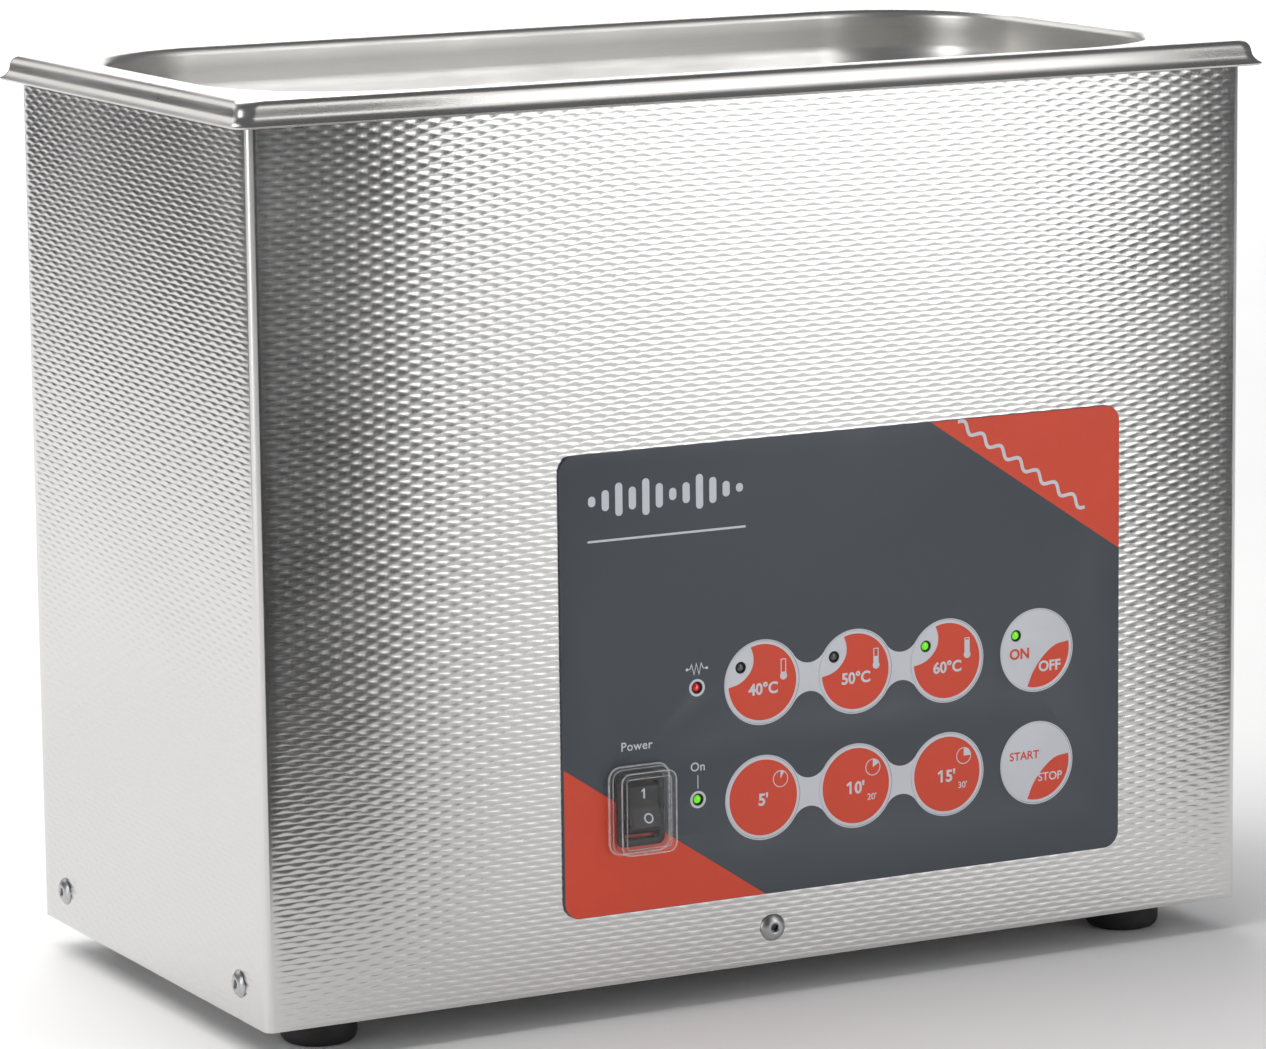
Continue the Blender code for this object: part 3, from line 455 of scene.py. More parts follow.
def plastic(name, base, rough, texture_mm=1.6, depth=0.010, spread=0.12, coat=0.0, ior=1.48):
    """Moulded plastic or rubber: fine spark texture, faint flow marks and wear."""
    n = Nodes(name)
    n.set(IOR=ior, Coat_Weight=coat)
    grainy = n.noise(texture_mm, 4.0, 0.6)
    flow = n.noise(0.05, 4.0, 0.55, distortion=0.6)
    n.link(n.ramp(n.math("ADD", n.math("MULTIPLY", grainy, 0.45), n.math("MULTIPLY", flow, 0.55)),
                  ((0.32, tint(base, 1 - spread)), (0.52, base), (0.72, tint(base, 1 + spread)))),
           n.p.inputs["Base Color"])
    n.link(n.span(n.noise(0.12, 3.0), rough - 0.06, rough + 0.07), n.p.inputs["Roughness"])
    n.link(n.bump(grainy, depth), n.p.inputs["Normal"])
    return n.mat


def ink(name, base, rough=0.42, spread=0.035):
    """Screen-printed film: even ink with a fine matt tooth and slight mottling."""
    n = Nodes(name)
    n.set(IOR=1.5)
    tooth = n.noise(5.0, 3.0, 0.6)
    mottle = n.noise(0.06, 3.0, 0.5)
    n.link(n.ramp(n.math("ADD", n.math("MULTIPLY", tooth, 0.4), n.math("MULTIPLY", mottle, 0.6)),
                  ((0.35, tint(base, 1 - spread)), (0.52, base), (0.70, tint(base, 1 + spread)))),
           n.p.inputs["Base Color"])
    n.link(n.span(mottle, rough - 0.04, rough + 0.05), n.p.inputs["Roughness"])
    n.link(n.bump(tooth, 0.004), n.p.inputs["Normal"])
    return n.mat


def lamp(name, base, glow=None, strength=0.0):
    """Moulded lens: diffusing plastic with internal sparkle."""
    n = Nodes(name)
    n.set(IOR=1.53, Coat_Weight=0.6)
    swirl = n.noise(1.2, 3.0, 0.5)
    n.link(n.ramp(swirl, ((0.35, tint(base, 0.8)), (0.5, base), (0.66, tint(base, 1.3)))),
           n.p.inputs["Base Color"])
    n.link(n.span(swirl, 0.10, 0.22), n.p.inputs["Roughness"])
    n.link(n.bump(n.noise(2.5, 2.0), 0.006), n.p.inputs["Normal"])
    if glow:
        n.set(Emission_Color=(*glow, 1.0), Emission_Strength=strength)
    return n.mat


def clear(name, base, alpha, rough=0.08):
    """Clear soft plastic: slightly milky, faintly uneven surface."""
    n = Nodes(name)
    n.set(IOR=1.5, Alpha=alpha, Coat_Weight=0.5)
    wave = n.noise(0.35, 3.0, 0.5)
    n.link(n.ramp(wave, ((0.35, tint(base, 0.85)), (0.6, base))), n.p.inputs["Base Color"])
    n.link(n.span(wave, rough, rough + 0.10), n.p.inputs["Roughness"])
    n.link(n.bump(wave, 0.05), n.p.inputs["Normal"])
    return n.mat


M = {
    "embossed_steel": metal("embossed_steel_look", (0.66, 0.655, 0.65), 0.21, (1.0, 1.0, 0.06), 3.0, 0.0012, 0.05, 0.03),
    "tank_steel": metal("tank_steel_look", (0.68, 0.665, 0.645), 0.31, (0.06, 0.06, 1.0), 1.6, 0.0016, 0.06, 0.05),
    "sheet_steel": metal("sheet_steel_look", (0.58, 0.58, 0.575), 0.30, (0.05, 1.0, 1.0), 2.0, 0.003),
    "screw_steel": metal("screw_steel_look", (0.60, 0.60, 0.60), 0.26, (1.0, 1.0, 1.0), 3.0, 0.003),
    "rivet_aluminium": metal("rivet_aluminium_look", (0.50, 0.50, 0.51), 0.36, (1.0, 1.0, 1.0), 2.0, 0.0012),
    # painted shade: the mandrel is near-black so it stands in for the shade in the rivet's hollow centre; the steel
    # stem itself is real
    "mandrel_steel": metal("mandrel_painted_shade_look", (0.075, 0.075, 0.08), 0.50, (1.0, 1.0, 1.0), 2.0, 0.0012),
    "bare_aluminium": metal("bare_aluminium_look", (0.70, 0.71, 0.72), 0.34, (1.0, 0.08, 1.0), 2.0, 0.004),
    "black_rubber": plastic("black_rubber_look", (0.020, 0.020, 0.021), 0.62, 1.2, 0.03, 0.2),
    "panel_grey": ink("panel_grey_look", (0.064, 0.076, 0.093), 0.42),
    "key_orange": ink("key_orange_look", (0.78, 0.065, 0.022), 0.40),
    "key_pale": ink("key_pale_look", (0.72, 0.74, 0.80), 0.42),
    "lamp_off": lamp("lamp_off_look", (0.075, 0.075, 0.077)),
    "lamp_green": lamp("lamp_green_look", (0.05, 0.30, 0.01), (0.15, 0.72, 0.006), 0.85),
    "lamp_red": lamp("lamp_red_look", (0.30, 0.004, 0.010), (0.55, 0.002, 0.012), 0.6),
    "switch_black": plastic("switch_black_look", (0.017, 0.018, 0.021), 0.30, 1.4, 0.006, 0.15, 0.0, 1.36),
    "inlet_black": plastic("inlet_black_look", (0.024, 0.024, 0.026), 0.48, 1.0, 0.02, 0.18),
    "clear_cover": clear("clear_cover_look", (0.92, 0.93, 0.93), 0.035),
    "circuit_board": plastic("circuit_board_look", (0.012, 0.130, 0.055), 0.35, 0.5, 0.02, 0.3),
    "white_plastic": plastic("white_plastic_look", (0.74, 0.74, 0.72), 0.45, 1.0, 0.01, 0.05),
    "ferrite": plastic("ferrite_look", (0.10, 0.095, 0.090), 0.55, 0.8, 0.03, 0.2),
    "piezo": plastic("piezo_look", (0.22, 0.20, 0.17), 0.45, 1.5, 0.02, 0.15),
    "heater_silicone": plastic("heater_silicone_look", (0.55, 0.10, 0.04), 0.60, 0.6, 0.03, 0.12),
    "wire_grey": plastic("wire_grey_look", (0.12, 0.12, 0.13), 0.45, 1.0, 0.02, 0.12),
    "wire_orange": plastic("wire_orange_look", (0.70, 0.15, 0.03), 0.42, 1.0, 0.02, 0.1),
    "fuse_glass": lamp("fuse_glass_look", (0.72, 0.73, 0.72)),
}
# inside of the tank: partly a real rougher satin finish, partly painted light, as its base colour is a brighter copy of
# the outer tank steel so the shaded interior reads bright
TANK_INSIDE_PAINTED_LIGHT = metal("tank_inside_painted_light_look", (0.83, 0.815, 0.79), 0.38, (0.06, 0.06, 1.0), 1.6, 0.0016, 0.05, 0.05)
LAMP_CORE = lamp("lamp_core_look", (0.70, 0.18, 0.20), (1.0, 0.12, 0.16), 0.7)
# painted highlight: the cover's beads take a paler, less clear copy of the clear plastic so they show as bright lines;
# partly real, as the plastic is thick there
RIDGE_HIGHLIGHT = clear("cover_ridge_highlight_look", (0.95, 0.95, 0.96), 0.28, 0.05)
PALE_INK = ink("pale_ink_look", (0.70, 0.72, 0.78), 0.45)
GREY_INK = ink("grey_ink_look", (0.30, 0.33, 0.38), 0.45)

for row in frame["record"]["subparts"]:
    node = frame["nodes"][row["node"]]
    if not node.material_slots:
        node.data.materials.append(None)
    for s in node.material_slots:
        s.material = M[row["material_slot"]]

# ------------------------------------------------------------------ embossed housing
PITCH_U, PITCH_V, WAVE = 7.3, 1.575, 0.37
BASE, RELIEF = 0.05, 0.19


def ease(x):
    x = np.clip(x, 0.0, 1.0)
    return x * x * (3 - 2 * x)


def embossed(name, put, u0, u1, z0, z1, drop=(), phase=0.0, slot="embossed_steel"):
    """Sheet with wavy ridges in antiphase that bound staggered lens-shaped cells.

    The mesh rows follow the ridges, so every ridge is a true edge of the grid.
    """
    nu = int(round((u1 - u0) / PITCH_U * 6))
    u = np.linspace(u0, u1, nu + 1)
    k0, k1 = int(math.floor(z0 / PITCH_V)) - 1, int(math.ceil(z1 / PITCH_V)) + 1
    wave = WAVE * np.cos(2 * math.pi * (u + phase) / PITCH_U)
    side = ease(np.minimum(u - u0, u1 - u) / 2.5)
    zs, hs = [], []
    for k in range(k0, k1):
        a = k * PITCH_V + (wave if k % 2 == 0 else -wave)
        b = (k + 1) * PITCH_V + (-wave if k % 2 == 0 else wave)
        gap = b - a
        depth = 0.05 + (RELIEF - 0.05) * (gap - PITCH_V + 2 * WAVE) / (4 * WAVE)
        for t in (0.0, 1 / 3, 2 / 3):
            z = a + (b - a) * t
            h = RELIEF - depth * math.sin(math.pi * t)
            ends = ease(np.minimum(z - z0, z1 - z) / 0.9)
            for x0, x1, y0, y1 in drop:
                out = np.maximum(np.maximum(x0 - u, u - x1), np.maximum(y0 - z, z - y1))
                ends = ends * ease((out - 0.6) / 1.4)
            zs.append(np.clip(z, z0, z1))
            hs.append(BASE * ends + h * side * ends)
    z = np.array(zs)
    h = np.array(hs)
    rows, cols = z.shape
    uu = np.broadcast_to(u, z.shape)
    idx = np.arange(rows * cols).reshape(rows, cols)
    q = np.stack((idx[:-1, :-1], idx[:-1, 1:], idx[1:, 1:], idx[1:, :-1]), -1).reshape(-1, 4)
    zf, uf = z.ravel(), uu.ravel()
    span = zf[q].max(1) - zf[q].min(1)
    flat = (np.abs(zf[q[:, 0]] - zf[q[:, 3]]) < 1e-6) & (np.abs(zf[q[:, 1]] - zf[q[:, 2]]) < 1e-6)
    keep = (span > 1e-6) & ~flat
    cu, cz = uf[q].mean(1), zf[q].mean(1)
    for x0, x1, y0, y1 in drop:
        keep &= ~((cu > x0) & (cu < x1) & (cz > y0) & (cz < y1))
    q = q[keep]
    used = np.unique(q)
    back = np.full(rows * cols, -1)
    back[used] = np.arange(len(used))
    q = back[q]
    uf, zf, hf = uf[used], zf[used], h.ravel()[used]
    co = put(uf, zf, hf) * MM
    me = bpy.data.meshes.new(name)
    me.vertices.add(len(co))
    me.vertices.foreach_set("co", co.ravel())
    me.loops.add(len(q) * 4)
    me.loops.foreach_set("vertex_index", q.ravel())
    me.polygons.add(len(q))
    me.polygons.foreach_set("loop_start", np.arange(0, len(q) * 4, 4))
    me.update(calc_edges=True)
    uv = me.uv_layers.new(name="OFBake")
    li = q.ravel()
    big = max(u1 - u0, z1 - z0)
    uvs = np.stack(((uf[li] - u0) / big * 0.98 + 0.01, (zf[li] - z0) / big * 0.98 + 0.01), 1)
    uv.data.foreach_set("uv", uvs.ravel())
    me.validate()
    nrm = put(np.zeros(1), np.zeros(1), np.ones(1)) - put(np.zeros(1), np.zeros(1), np.zeros(1))
    if Vector(me.polygons[0].normal).dot(Vector(nrm[0])) < 0:
        me.flip_normals()
    ob = dress(name, me, M[slot], "root", 60.0)
    return ob


Z0, Z1 = FOOT_H, HOUSING_TOP
HX, HY = BODY_W / 2, BODY_D / 2
embossed("housing_skin_front", lambda u, z, h: np.stack((u, FRONT - h, z), 1),
         -HX + BEND_R, HX - BEND_R, Z0, Z1,
         ((PANEL[0] + 3, PANEL[1] - 3, PANEL[2] + 3, PANEL[3] - 3),))
embossed("housing_skin_left", lambda u, z, h: np.stack((-HX - h, u, z), 1),
         -HY + BEND_R, HY - BEND_R, Z0, Z1, phase=1.3)
embossed("housing_skin_right", lambda u, z, h: np.stack((HX + h, u, z), 1),
         -HY + BEND_R, HY - BEND_R, Z0, Z1, phase=2.1)
VENT_PAD = (-137.0, -46.0, 43.0, 81.0)
INLET_PAD = (INLET[0] - 24.0, INLET[0] + 24.0, INLET[1] - 17.0, INLET[1] + 17.0)
embossed("housing_skin_rear_left", lambda u, z, h: np.stack((u, BACK + h, z), 1),
         -HX + BEND_R, -0.15, Z0, Z1, (VENT_PAD,), phase=0.6)
embossed("housing_skin_rear_right", lambda u, z, h: np.stack((u, BACK + h, z), 1),
         0.15, HX - BEND_R, Z0, Z1, (INLET_PAD,), phase=0.9)


def bends(bm):
    """Smooth outside of the four vertical bends."""
    r = BEND_R + BASE
    zs = [Z0, Z0 + 0.4, Z0 + 0.9] + [Z0 + 12.8 * k for k in range(1, 20)] + [Z1 - 0.9, Z1]
    for sx, sy in ((1, 1), (-1, 1), (-1, -1), (1, -1)):
        rows = []
        for z in zs:
            rr = r if Z0 + 0.3 < z < Z1 else BEND_R
            rows.append([bm.verts.new(((sx * (HX - BEND_R + rr * math.cos(a))) * MM,
                                       (sy * (HY - BEND_R + rr * math.sin(a))) * MM, z * MM))
                         for a in np.linspace(0, math.pi / 2, 13)])
        for a, b in zip(rows, rows[1:]):
            for k in range(12):
                f = (a[k], a[k + 1], b[k + 1], b[k])
                bm.faces.new(f if sx * sy > 0 else f[::-1])


def bends_piece():
    bm = bmesh.new()
    bends(bm)
    me = bpy.data.meshes.new("housing_bends")
    bm.to_mesh(me)
    bm.free()
    dress("housing_bends", me, M["embossed_steel"], "root", 60.0)


bends_piece()

# ------------------------------------------------------------------ tank and rim
def tank_face():
    """(half x, half y, corner, z) down the rim and into the tank, from the lip inwards."""
    outer = [(5.5, RIM_TOP - 6.5, 4.2), (4.6, RIM_TOP - 5.7, 4.7), (3.95, RIM_TOP - 4.7, 5.0),
             (3.7, RIM_TOP - 3.8, 5.2), (3.55, RIM_TOP - 2.7, 5.3), (3.25, RIM_TOP - 1.6, 5.5),
             (2.7, RIM_TOP - 0.75, 5.8), (1.9, RIM_TOP - 0.2, 6.0), (0.9, RIM_TOP, 6.0),
             (-0.4, RIM_TOP, 6.0), (-2.4, RIM_TOP, 6.0)]
    fine = []
    for a, b in zip(*[through([(g, z) for g, z, _ in outer], 4),
                      through([(g, c) for g, _, c in outer], 4)]):
        fine.append((HX + a[0], HY + a[0], b[1], min(a[1], RIM_TOP)))
    inner = []
    for k in range(9):
        a = math.radians(90.0 * (8 - k) / 8)
        inner.append((2.5 * (1 - math.cos(a)), RIM_TOP - 2.5 + 2.5 * math.sin(a)))
    inner += [(0.0, 262.5), (0.0, 258.0), (-0.1, 256.4), (-0.5, 255.0), (-1.0, 253.4), (-1.4, 252.2), (-1.5, 250.0),
              (-1.5, 225.0), (-1.5, 200.0), (-1.5, 170.0), (-1.5, TANK_FLOOR + 14.0)]
    for k in range(13):
        a = math.radians(90.0 * (12 - k) / 12)
        inner.append((-1.5 - 12.0 * (1 - math.sin(a)), TANK_FLOOR + 12.0 * (1 - math.cos(a))))
    for g, z in inner:
        fine.append((TANK_L / 2 + g, TANK_D / 2 + g, TANK_R + g, z))
    for shrink in (8.0, 18.0):
        fine.append((TANK_L / 2 - 13.5 - shrink, TANK_D / 2 - 13.5 - shrink,
                     TANK_R - 13.5 - shrink, TANK_FLOOR))
    return fine


def build_tank(bm):
    n = 20
    face = tank_face()
    rim = [f for f in face if f[0] > TANK_L / 2 + 2.6]
    under = []
    for i, (hx, hy, r, z) in enumerate(rim):
        a, c = rim[max(i - 1, 0)], rim[min(i + 1, len(rim) - 1)]
        da, dz = c[0] - a[0], c[3] - a[3]
        d = math.hypot(da, dz)
        sx, sz = 0.8 * dz / d, 0.8 * da / d
        under.append((hx - sx, hy - sx, max(r - 0.8 * dz / d, 1.0), min(z + sz, RIM_TOP - 0.8)))
    (hx, hy, r, z), (ux, uy, ur, uz) = rim[0], under[0]
    lip = [(hx + 0.16, hy + 0.16, r + 0.15, z - 0.16),
           (hx * 0.5 + ux * 0.5 + 0.24, hy * 0.5 + uy * 0.5 + 0.24, r, z * 0.5 + uz * 0.5 - 0.12),
           (ux + 0.1, uy + 0.1, r - 0.2, uz - 0.14)]
    loops = [[(x, y, z) for x, y in rounded(hx, hy, r, n)]
             for hx, hy, r, z in under[::-1][:-1] + [under[0]] + lip[::-1] + face]
    rows = [[bm.verts.new([c * MM for c in p]) for p in loop] for loop in loops]
    m = len(rows[0])
    for a, b in zip(rows, rows[1:]):
        for k in range(m):
            bm.faces.new((a[k], a[(k + 1) % m], b[(k + 1) % m], b[k]))
    bm.faces.new(rows[-1])
    # outside of the tank below the rim
    out = [(hx + 1.0, hy + 1.0, r + 1.0, z - (1.0 if z < TANK_FLOOR + 6 else 0.0))
           for hx, hy, r, z in face if hx <= TANK_L / 2 and z < 262.0]
    rows = [[bm.verts.new((x * MM, y * MM, z * MM)) for x, y in rounded(hx, hy, r, n)]
            for hx, hy, r, z in out]
    for a, b in zip(rows, rows[1:]):
        for k in range(m):
            bm.faces.new((a[k], b[k], b[(k + 1) % m], a[(k + 1) % m]))
    bm.faces.new(rows[-1][::-1])


def tank_piece():
    bm = bmesh.new()
    build_tank(bm)
    me = bpy.data.meshes.new("tank_basin_formed")
    bm.to_mesh(me)
    bm.free()
    ob = dress("tank_basin_formed", me, M["tank_steel"], "root", 60.0, ("tank_basin",))
    # the inner faces take the brighter copy of the tank steel, which is painted light
    ob.data.materials.append(TANK_INSIDE_PAINTED_LIGHT)
    for p in ob.data.polygons:
        x, y, z = p.center
        if abs(x) < (TANK_L / 2 + 0.8) * MM and abs(y) < (TANK_D / 2 + 0.8) * MM and z < (RIM_TOP - 0.9) * MM:
            p.material_index = 1


tank_piece()

# ------------------------------------------------------------------ rivets and feet
RIVET = [(0.0, -0.2), (1.15, -0.2), (1.15, 1.35), (1.3, 1.55), (1.7, 1.62), (2.3, 1.52), (2.9, 1.25),
         (3.5, 0.80), (3.85, 0.45), (4.0, 0.20), (4.0, 0.05), (1.5, 0.05), (1.5, -1.5), (0.0, -1.5)]


def rivet(name, m, face, out):
    prof = [(r, face + out * (0.12 + w)) for r, w in RIVET]
    piece(name + "_formed", lambda bm: lathe(bm, prof, 40, m), M["rivet_aluminium"], "root",
          50.0, (name,))
    # the near-black mandrel deep in the rivet hole is painted shade of the hollow
    stem = [(0.0, face + out * 0.75), (0.7, face + out * 0.75), (0.95, face + out * 0.6), (0.95, face - out * 0.3),
            (0.0, face - out * 0.3)]
    piece(name + "_mandrel", lambda bm: lathe(bm, stem, 20, m), M["mandrel_steel"], "root", 40.0)


for sx, lr in ((-1, "left"), (1, "right")):
    for sy, fb in ((-1, "front"), (1, "rear")):
        rivet(f"rivet_{lr}_{fb}", at(place_side, sy * 63.7, 20.5), sx * HX, sx)
rivet("rivet_front_middle", at(place_front, 0.0, 20.5), FRONT, -1)
rivet("rivet_rear_middle", at(place_front, 0.0, 20.5), BACK, 1)

FOOT = ([(0.0, 0.8), (2.4, 0.8), (2.8, 0.3), (3.2, 0.05), (8.6, 0.0)]
        + [(8.6 + 2.4 * math.sin(math.radians(a)), 2.9 - 2.9 * math.cos(math.radians(a)))
           for a in range(10, 100, 10)]
        + [(11.0, 9.9), (10.9, 10.7), (10.5, 11.2), (9.9, 11.4), (3.8, 11.4), (3.8, 12.8),
           (5.4, 12.9), (5.3, 13.4), (3.6, 16.0), (0.0, 16.0)])
for fb, sy in (("front", -1), ("rear", 1)):
    for lr, sx in (("left", -1), ("right", 1)):
        piece(f"foot_{fb}_{lr}_moulded",
              lambda bm, x=sx * 134.0, y=sy * 58.5: lathe(bm, FOOT, 56, at(place_plan, x, y)),
              M["black_rubber"], "root", 38.0, (f"foot_{fb}_{lr}",))

# ------------------------------------------------------------------ front panel
px0, px1, pz0, pz1 = PANEL
PCX, PCZ = (px0 + px1) / 2, (pz0 + pz1) / 2
PHX, PHZ = (px1 - px0) / 2, (pz1 - pz0) / 2
outline = rounded(PHX, PHZ, 5.0, 12, PCX, PCZ)
KEY_R = 12.05
holes = [circle(KEY_R + 0.08, 96, x, z) for z in KEY_Z for x in KEY_X]
holes += [circle(1.80, 36, LAMP_X, z) for z in LAMP_Z]
holes += [rounded(6.7, 9.7, 0.6, 3, *SWITCH)]
plate("panel_film", [outline] + holes, FRONT - 0.1, PANEL_FACE, M["panel_grey"], "root",
      0.18, ("panel_overlay",))

# orange corners, cut along two parallel diagonals
INSET = 0.16
top = [(PCX + x, PCZ + z) for x, z in arc(5.0 - INSET, 90, 0, 12, PHX - 5.0, PHZ - 5.0)]
corner_a = [(52.95, pz1 - INSET)] + top + [(px1 - INSET, 121.1)]
low = [(PCX + x, PCZ + z) for x, z in arc(5.0 - INSET, 180, 270, 12, -PHX + 5.0, -PHZ + 5.0)]
corner_b = [(px0 + INSET, 74.4)] + low + [(-2.8, pz0 + INSET)]
printed("panel_print_corners", [corner_a, corner_b], 1, M["key_orange"], "root")


# pale collars round the keys, joined between the first three of each row
def key_collars():
    r, half = 12.46, 4.2
    run = KEY_X[1] - KEY_X[0]
    fillet = ((run / 2) ** 2 + half ** 2 - r ** 2) / (2 * (r - half))
    up = half + fillet
    lean = math.degrees(math.atan2(up, run / 2))
    out = []
    for z in KEY_Z:
        xs = KEY_X[:3]
        edge = []
        for i, x in enumerate(xs):
            edge += arc(r, 180.0 if i == 0 else 180.0 - lean, 0.0 if i == 2 else lean, 40, x, 0.0)
            if i < 2:
                edge += arc(fillet, 180.0 + lean, 360.0 - lean, 24, (x + xs[i + 1]) / 2, up)[1:-1]
        out.append([(x, z + q) for x, q in edge] + [(x, z - q) for x, q in edge[-2:0:-1]])
        out += [circle(KEY_R + 0.08, 96, x, z) for x in xs]
        out.append(circle(r, 96, KEY_X[3], z))
        out.append(circle(KEY_R + 0.08, 96, KEY_X[3], z))
    return out


printed("panel_print_collars", key_collars(), 1, M["key_pale"], "root")

# lamp rings, lamp symbols and lamp lead line
printed("panel_print_lamp_rings", [o for z in LAMP_Z for o in
                                   (circle(2.53, 48, LAMP_X, z), circle(1.80, 48, LAMP_X, z))],
        1, PALE_INK, "root")
zig = [(-3.0, 0.0), (-2.3, 0.0), (-1.7, 1.3), (-0.9, -1.6), (-0.15, 1.5), (0.7, -1.6), (1.4, 1.5), (2.15, 0.0), (3.0, 0.0)]
printed("panel_print_heater_symbol",
        [stroke([(LAMP_X + x, 99.3 + z) for x, z in zig], 0.26)]
        , 1, PALE_INK, "root")
printed("panel_print_symbol_ends", [circle(0.42, 20, LAMP_X - 3.2, 99.3), circle(0.42, 20, LAMP_X + 3.2, 99.3)],
        2, PALE_INK, "root")
printed("panel_print_lead_line", [[(LAMP_X - 0.15, 64.4), (LAMP_X + 0.15, 64.4), (LAMP_X + 0.15, 68.3),
                                   (LAMP_X - 0.15, 68.3)]], 1, PALE_INK, "root")
lettering("panel_print_words", [("Power", 2.6, SWITCH[0], 79.2, {"spacing": 1.08, "weight": 0.10}),
                                ("On", 2.6, LAMP_X, 70.9, {"spacing": 1.05, "weight": 0.10})],
          1, PALE_INK, "root")

# generic wave device where the heading stands
bars = []
for i, h in enumerate((3.0, 6.0, 9.5, 6.5, 10.5, 7.0, 3.5, 6.0, 10.0, 7.5, 4.5, 2.5)):
    x = -57.6 + 4.3 * i
    bars.append(rounded(1.15, h / 2, 1.1, 4, x, 150.4))
printed("panel_print_wave_bars", bars, 1, PALE_INK, "root")
printed("panel_print_rule", [rounded(25.4, 0.32, 0.3, 2, -33.7, 139.0)], 1, PALE_INK, "root")
a = math.atan2(121.1 - 164.0, PANEL[1] - 52.95)
wave_pts = []
for i in range(121):
    t = i / 120.0
    along, off = 8.0 + 52.0 * t, 4.4 + 1.15 * math.sin(2 * math.pi * 7 * t)
    wave_pts.append((52.95 + along * math.cos(a) - off * math.sin(a), 164.0 + along * math.sin(a) + off * math.cos(a)))
printed("panel_print_corner_wave", [stroke(wave_pts, 1.05)], 2, PALE_INK, "root")

# ------------------------------------------------------------------ keys
ORANGE_R = 11.10
KEYS = (("key_40c", 0, 0), ("key_50c", 1, 0), ("key_60c", 2, 0), ("key_heat_on_off", 3, 0),
        ("key_5min", 0, 1), ("key_10min", 1, 1), ("key_15min", 2, 1), ("key_start_stop", 3, 1))


def key_cap(bm, x, z, window):
    f = PANEL_FACE
    prof = [(KEY_R - 0.3, f + 0.5), (KEY_R, f + 0.38), (KEY_R, f + 0.14), (KEY_R - 0.05, f + 0.04), (KEY_R - 0.15, f)]
    n = 96
    m = at(place_front, x, z)
    rows = [[bm.verts.new([c * MM for c in m(u, v, w)]) for u, v in circle(r, n)] for r, w in prof]
    for a, b in zip(rows, rows[1:]):
        for k in range(n):
            bm.faces.new((a[k], a[(k + 1) % n], b[(k + 1) % n], b[k]))
    bm.faces.new(rows[0])


def thermometer(x, z, level):
    body = stroke([(x, z - 0.8), (x, z + 2.7)], 1.7)
    bulb = circle(1.35, 24, x, z - 1.9)
    return [bulb], [rounded(0.85, 1.9, 0.8, 5, x, z + 1.0)], body


def pie(x, z, share, r=2.5):
    ring = [circle(r, 48, x, z), circle(r - 0.26, 48, x, z)]
    wedge = [(x, z)] + [(x + (r - 0.1) * math.sin(2 * math.pi * share * k / 12),
                         z + (r - 0.1) * math.cos(2 * math.pi * share * k / 12)) for k in range(13)]
    return ring, wedge


for name, i, j in KEYS:
    kx, kz = KEY_X[i], KEY_Z[j]
    body = name + "_plunger"
    f = PANEL_FACE
    window = circle(1.76, 36, kx - 7.0, kz + 4.9)
    face = [circle(KEY_R, 96, kx, kz)] + ([window] if j == 0 else [])
    cap = plate(name + "_cap", face, f + 0.5, f, M["key_pale"], body, 0.06, (name,))
    stem = [(0.0, FRONT + 2.6), (2.3, FRONT + 2.6), (2.5, FRONT + 2.4), (2.5, f + 0.45), (0.0, f + 0.45)]
    piece(name + "_stem", lambda bm, m=at(place_front, kx, kz), p=stem: lathe(bm, p, 32, m), M["key_pale"], body,
          40.0)
    if i < 3:
        disc = circle(ORANGE_R, 96, kx, kz)
        if j == 0:
            edge = through([(-3.75, 10.447), (-3.05, 8.6), (-2.85, 6.8), (-3.1, 5.0), (-4.2, 2.95), (-6.1, 1.1), (-8.4, -0.05),
                            (-11.083, -0.62)], 6)
            a0 = math.degrees(math.atan2(edge[-1][1], edge[-1][0])) % 360.0
            a1 = math.degrees(math.atan2(edge[0][1], edge[0][0])) + 360.0
            disc = moved([edge[:-1] + arc(ORANGE_R, a0, a1, 90)[:-1]], kx, kz)[0]
        printed(name + "_print", [disc], 1, M["key_orange"], body)
    else:
        lens = through([(10.95, 1.82), (6.2, 0.9), (1.95, -2.3), (-1.2, -6.4), (-3.16, -10.64)], 10)
        a0 = math.degrees(math.atan2(lens[-1][1], lens[-1][0]))
        a1 = math.degrees(math.atan2(lens[0][1], lens[0][0]))
        disc = moved([lens[:-1] + arc(ORANGE_R, a0, a1, 40)[:-1]], kx, kz)[0]
        printed(name + "_print", [disc], 1, M["key_orange"], body)

W = {"weight": 0.30}
for name, i, word in (("key_40c", 0, "40°C"), ("key_50c", 1, "50°C"), ("key_60c", 2, "60°C")):
    x, z = KEY_X[i], KEY_Z[0]
    lettering(name + "_label", [(word, 3.3, x + 0.2, z - 1.8, W)], 2, M["key_pale"], name + "_plunger")
    tube_x, tube_z = x + 6.9, z + 3.0
    shell = rounded(0.88, 2.45, 0.22, 4, tube_x, tube_z + 0.75)
    bore = rounded(0.60, 2.17, 0.10, 4, tube_x, tube_z + 0.75)
    top_of_fill = (tube_z - 0.6, tube_z + 0.8, tube_z + 2.55)[i]
    fill = rounded(0.62, (top_of_fill - (tube_z - 1.4)) / 2, 0.10, 3, tube_x, (top_of_fill + tube_z - 1.4) / 2)
    printed(name + "_thermometer", [shell, bore], 2, M["key_pale"], name + "_plunger")
    printed(name + "_thermometer_bulb", [circle(1.12, 32, tube_x, tube_z - 1.8)], 4, M["key_pale"], name + "_plunger")
    printed(name + "_thermometer_level", [fill], 3, M["key_pale"], name + "_plunger")

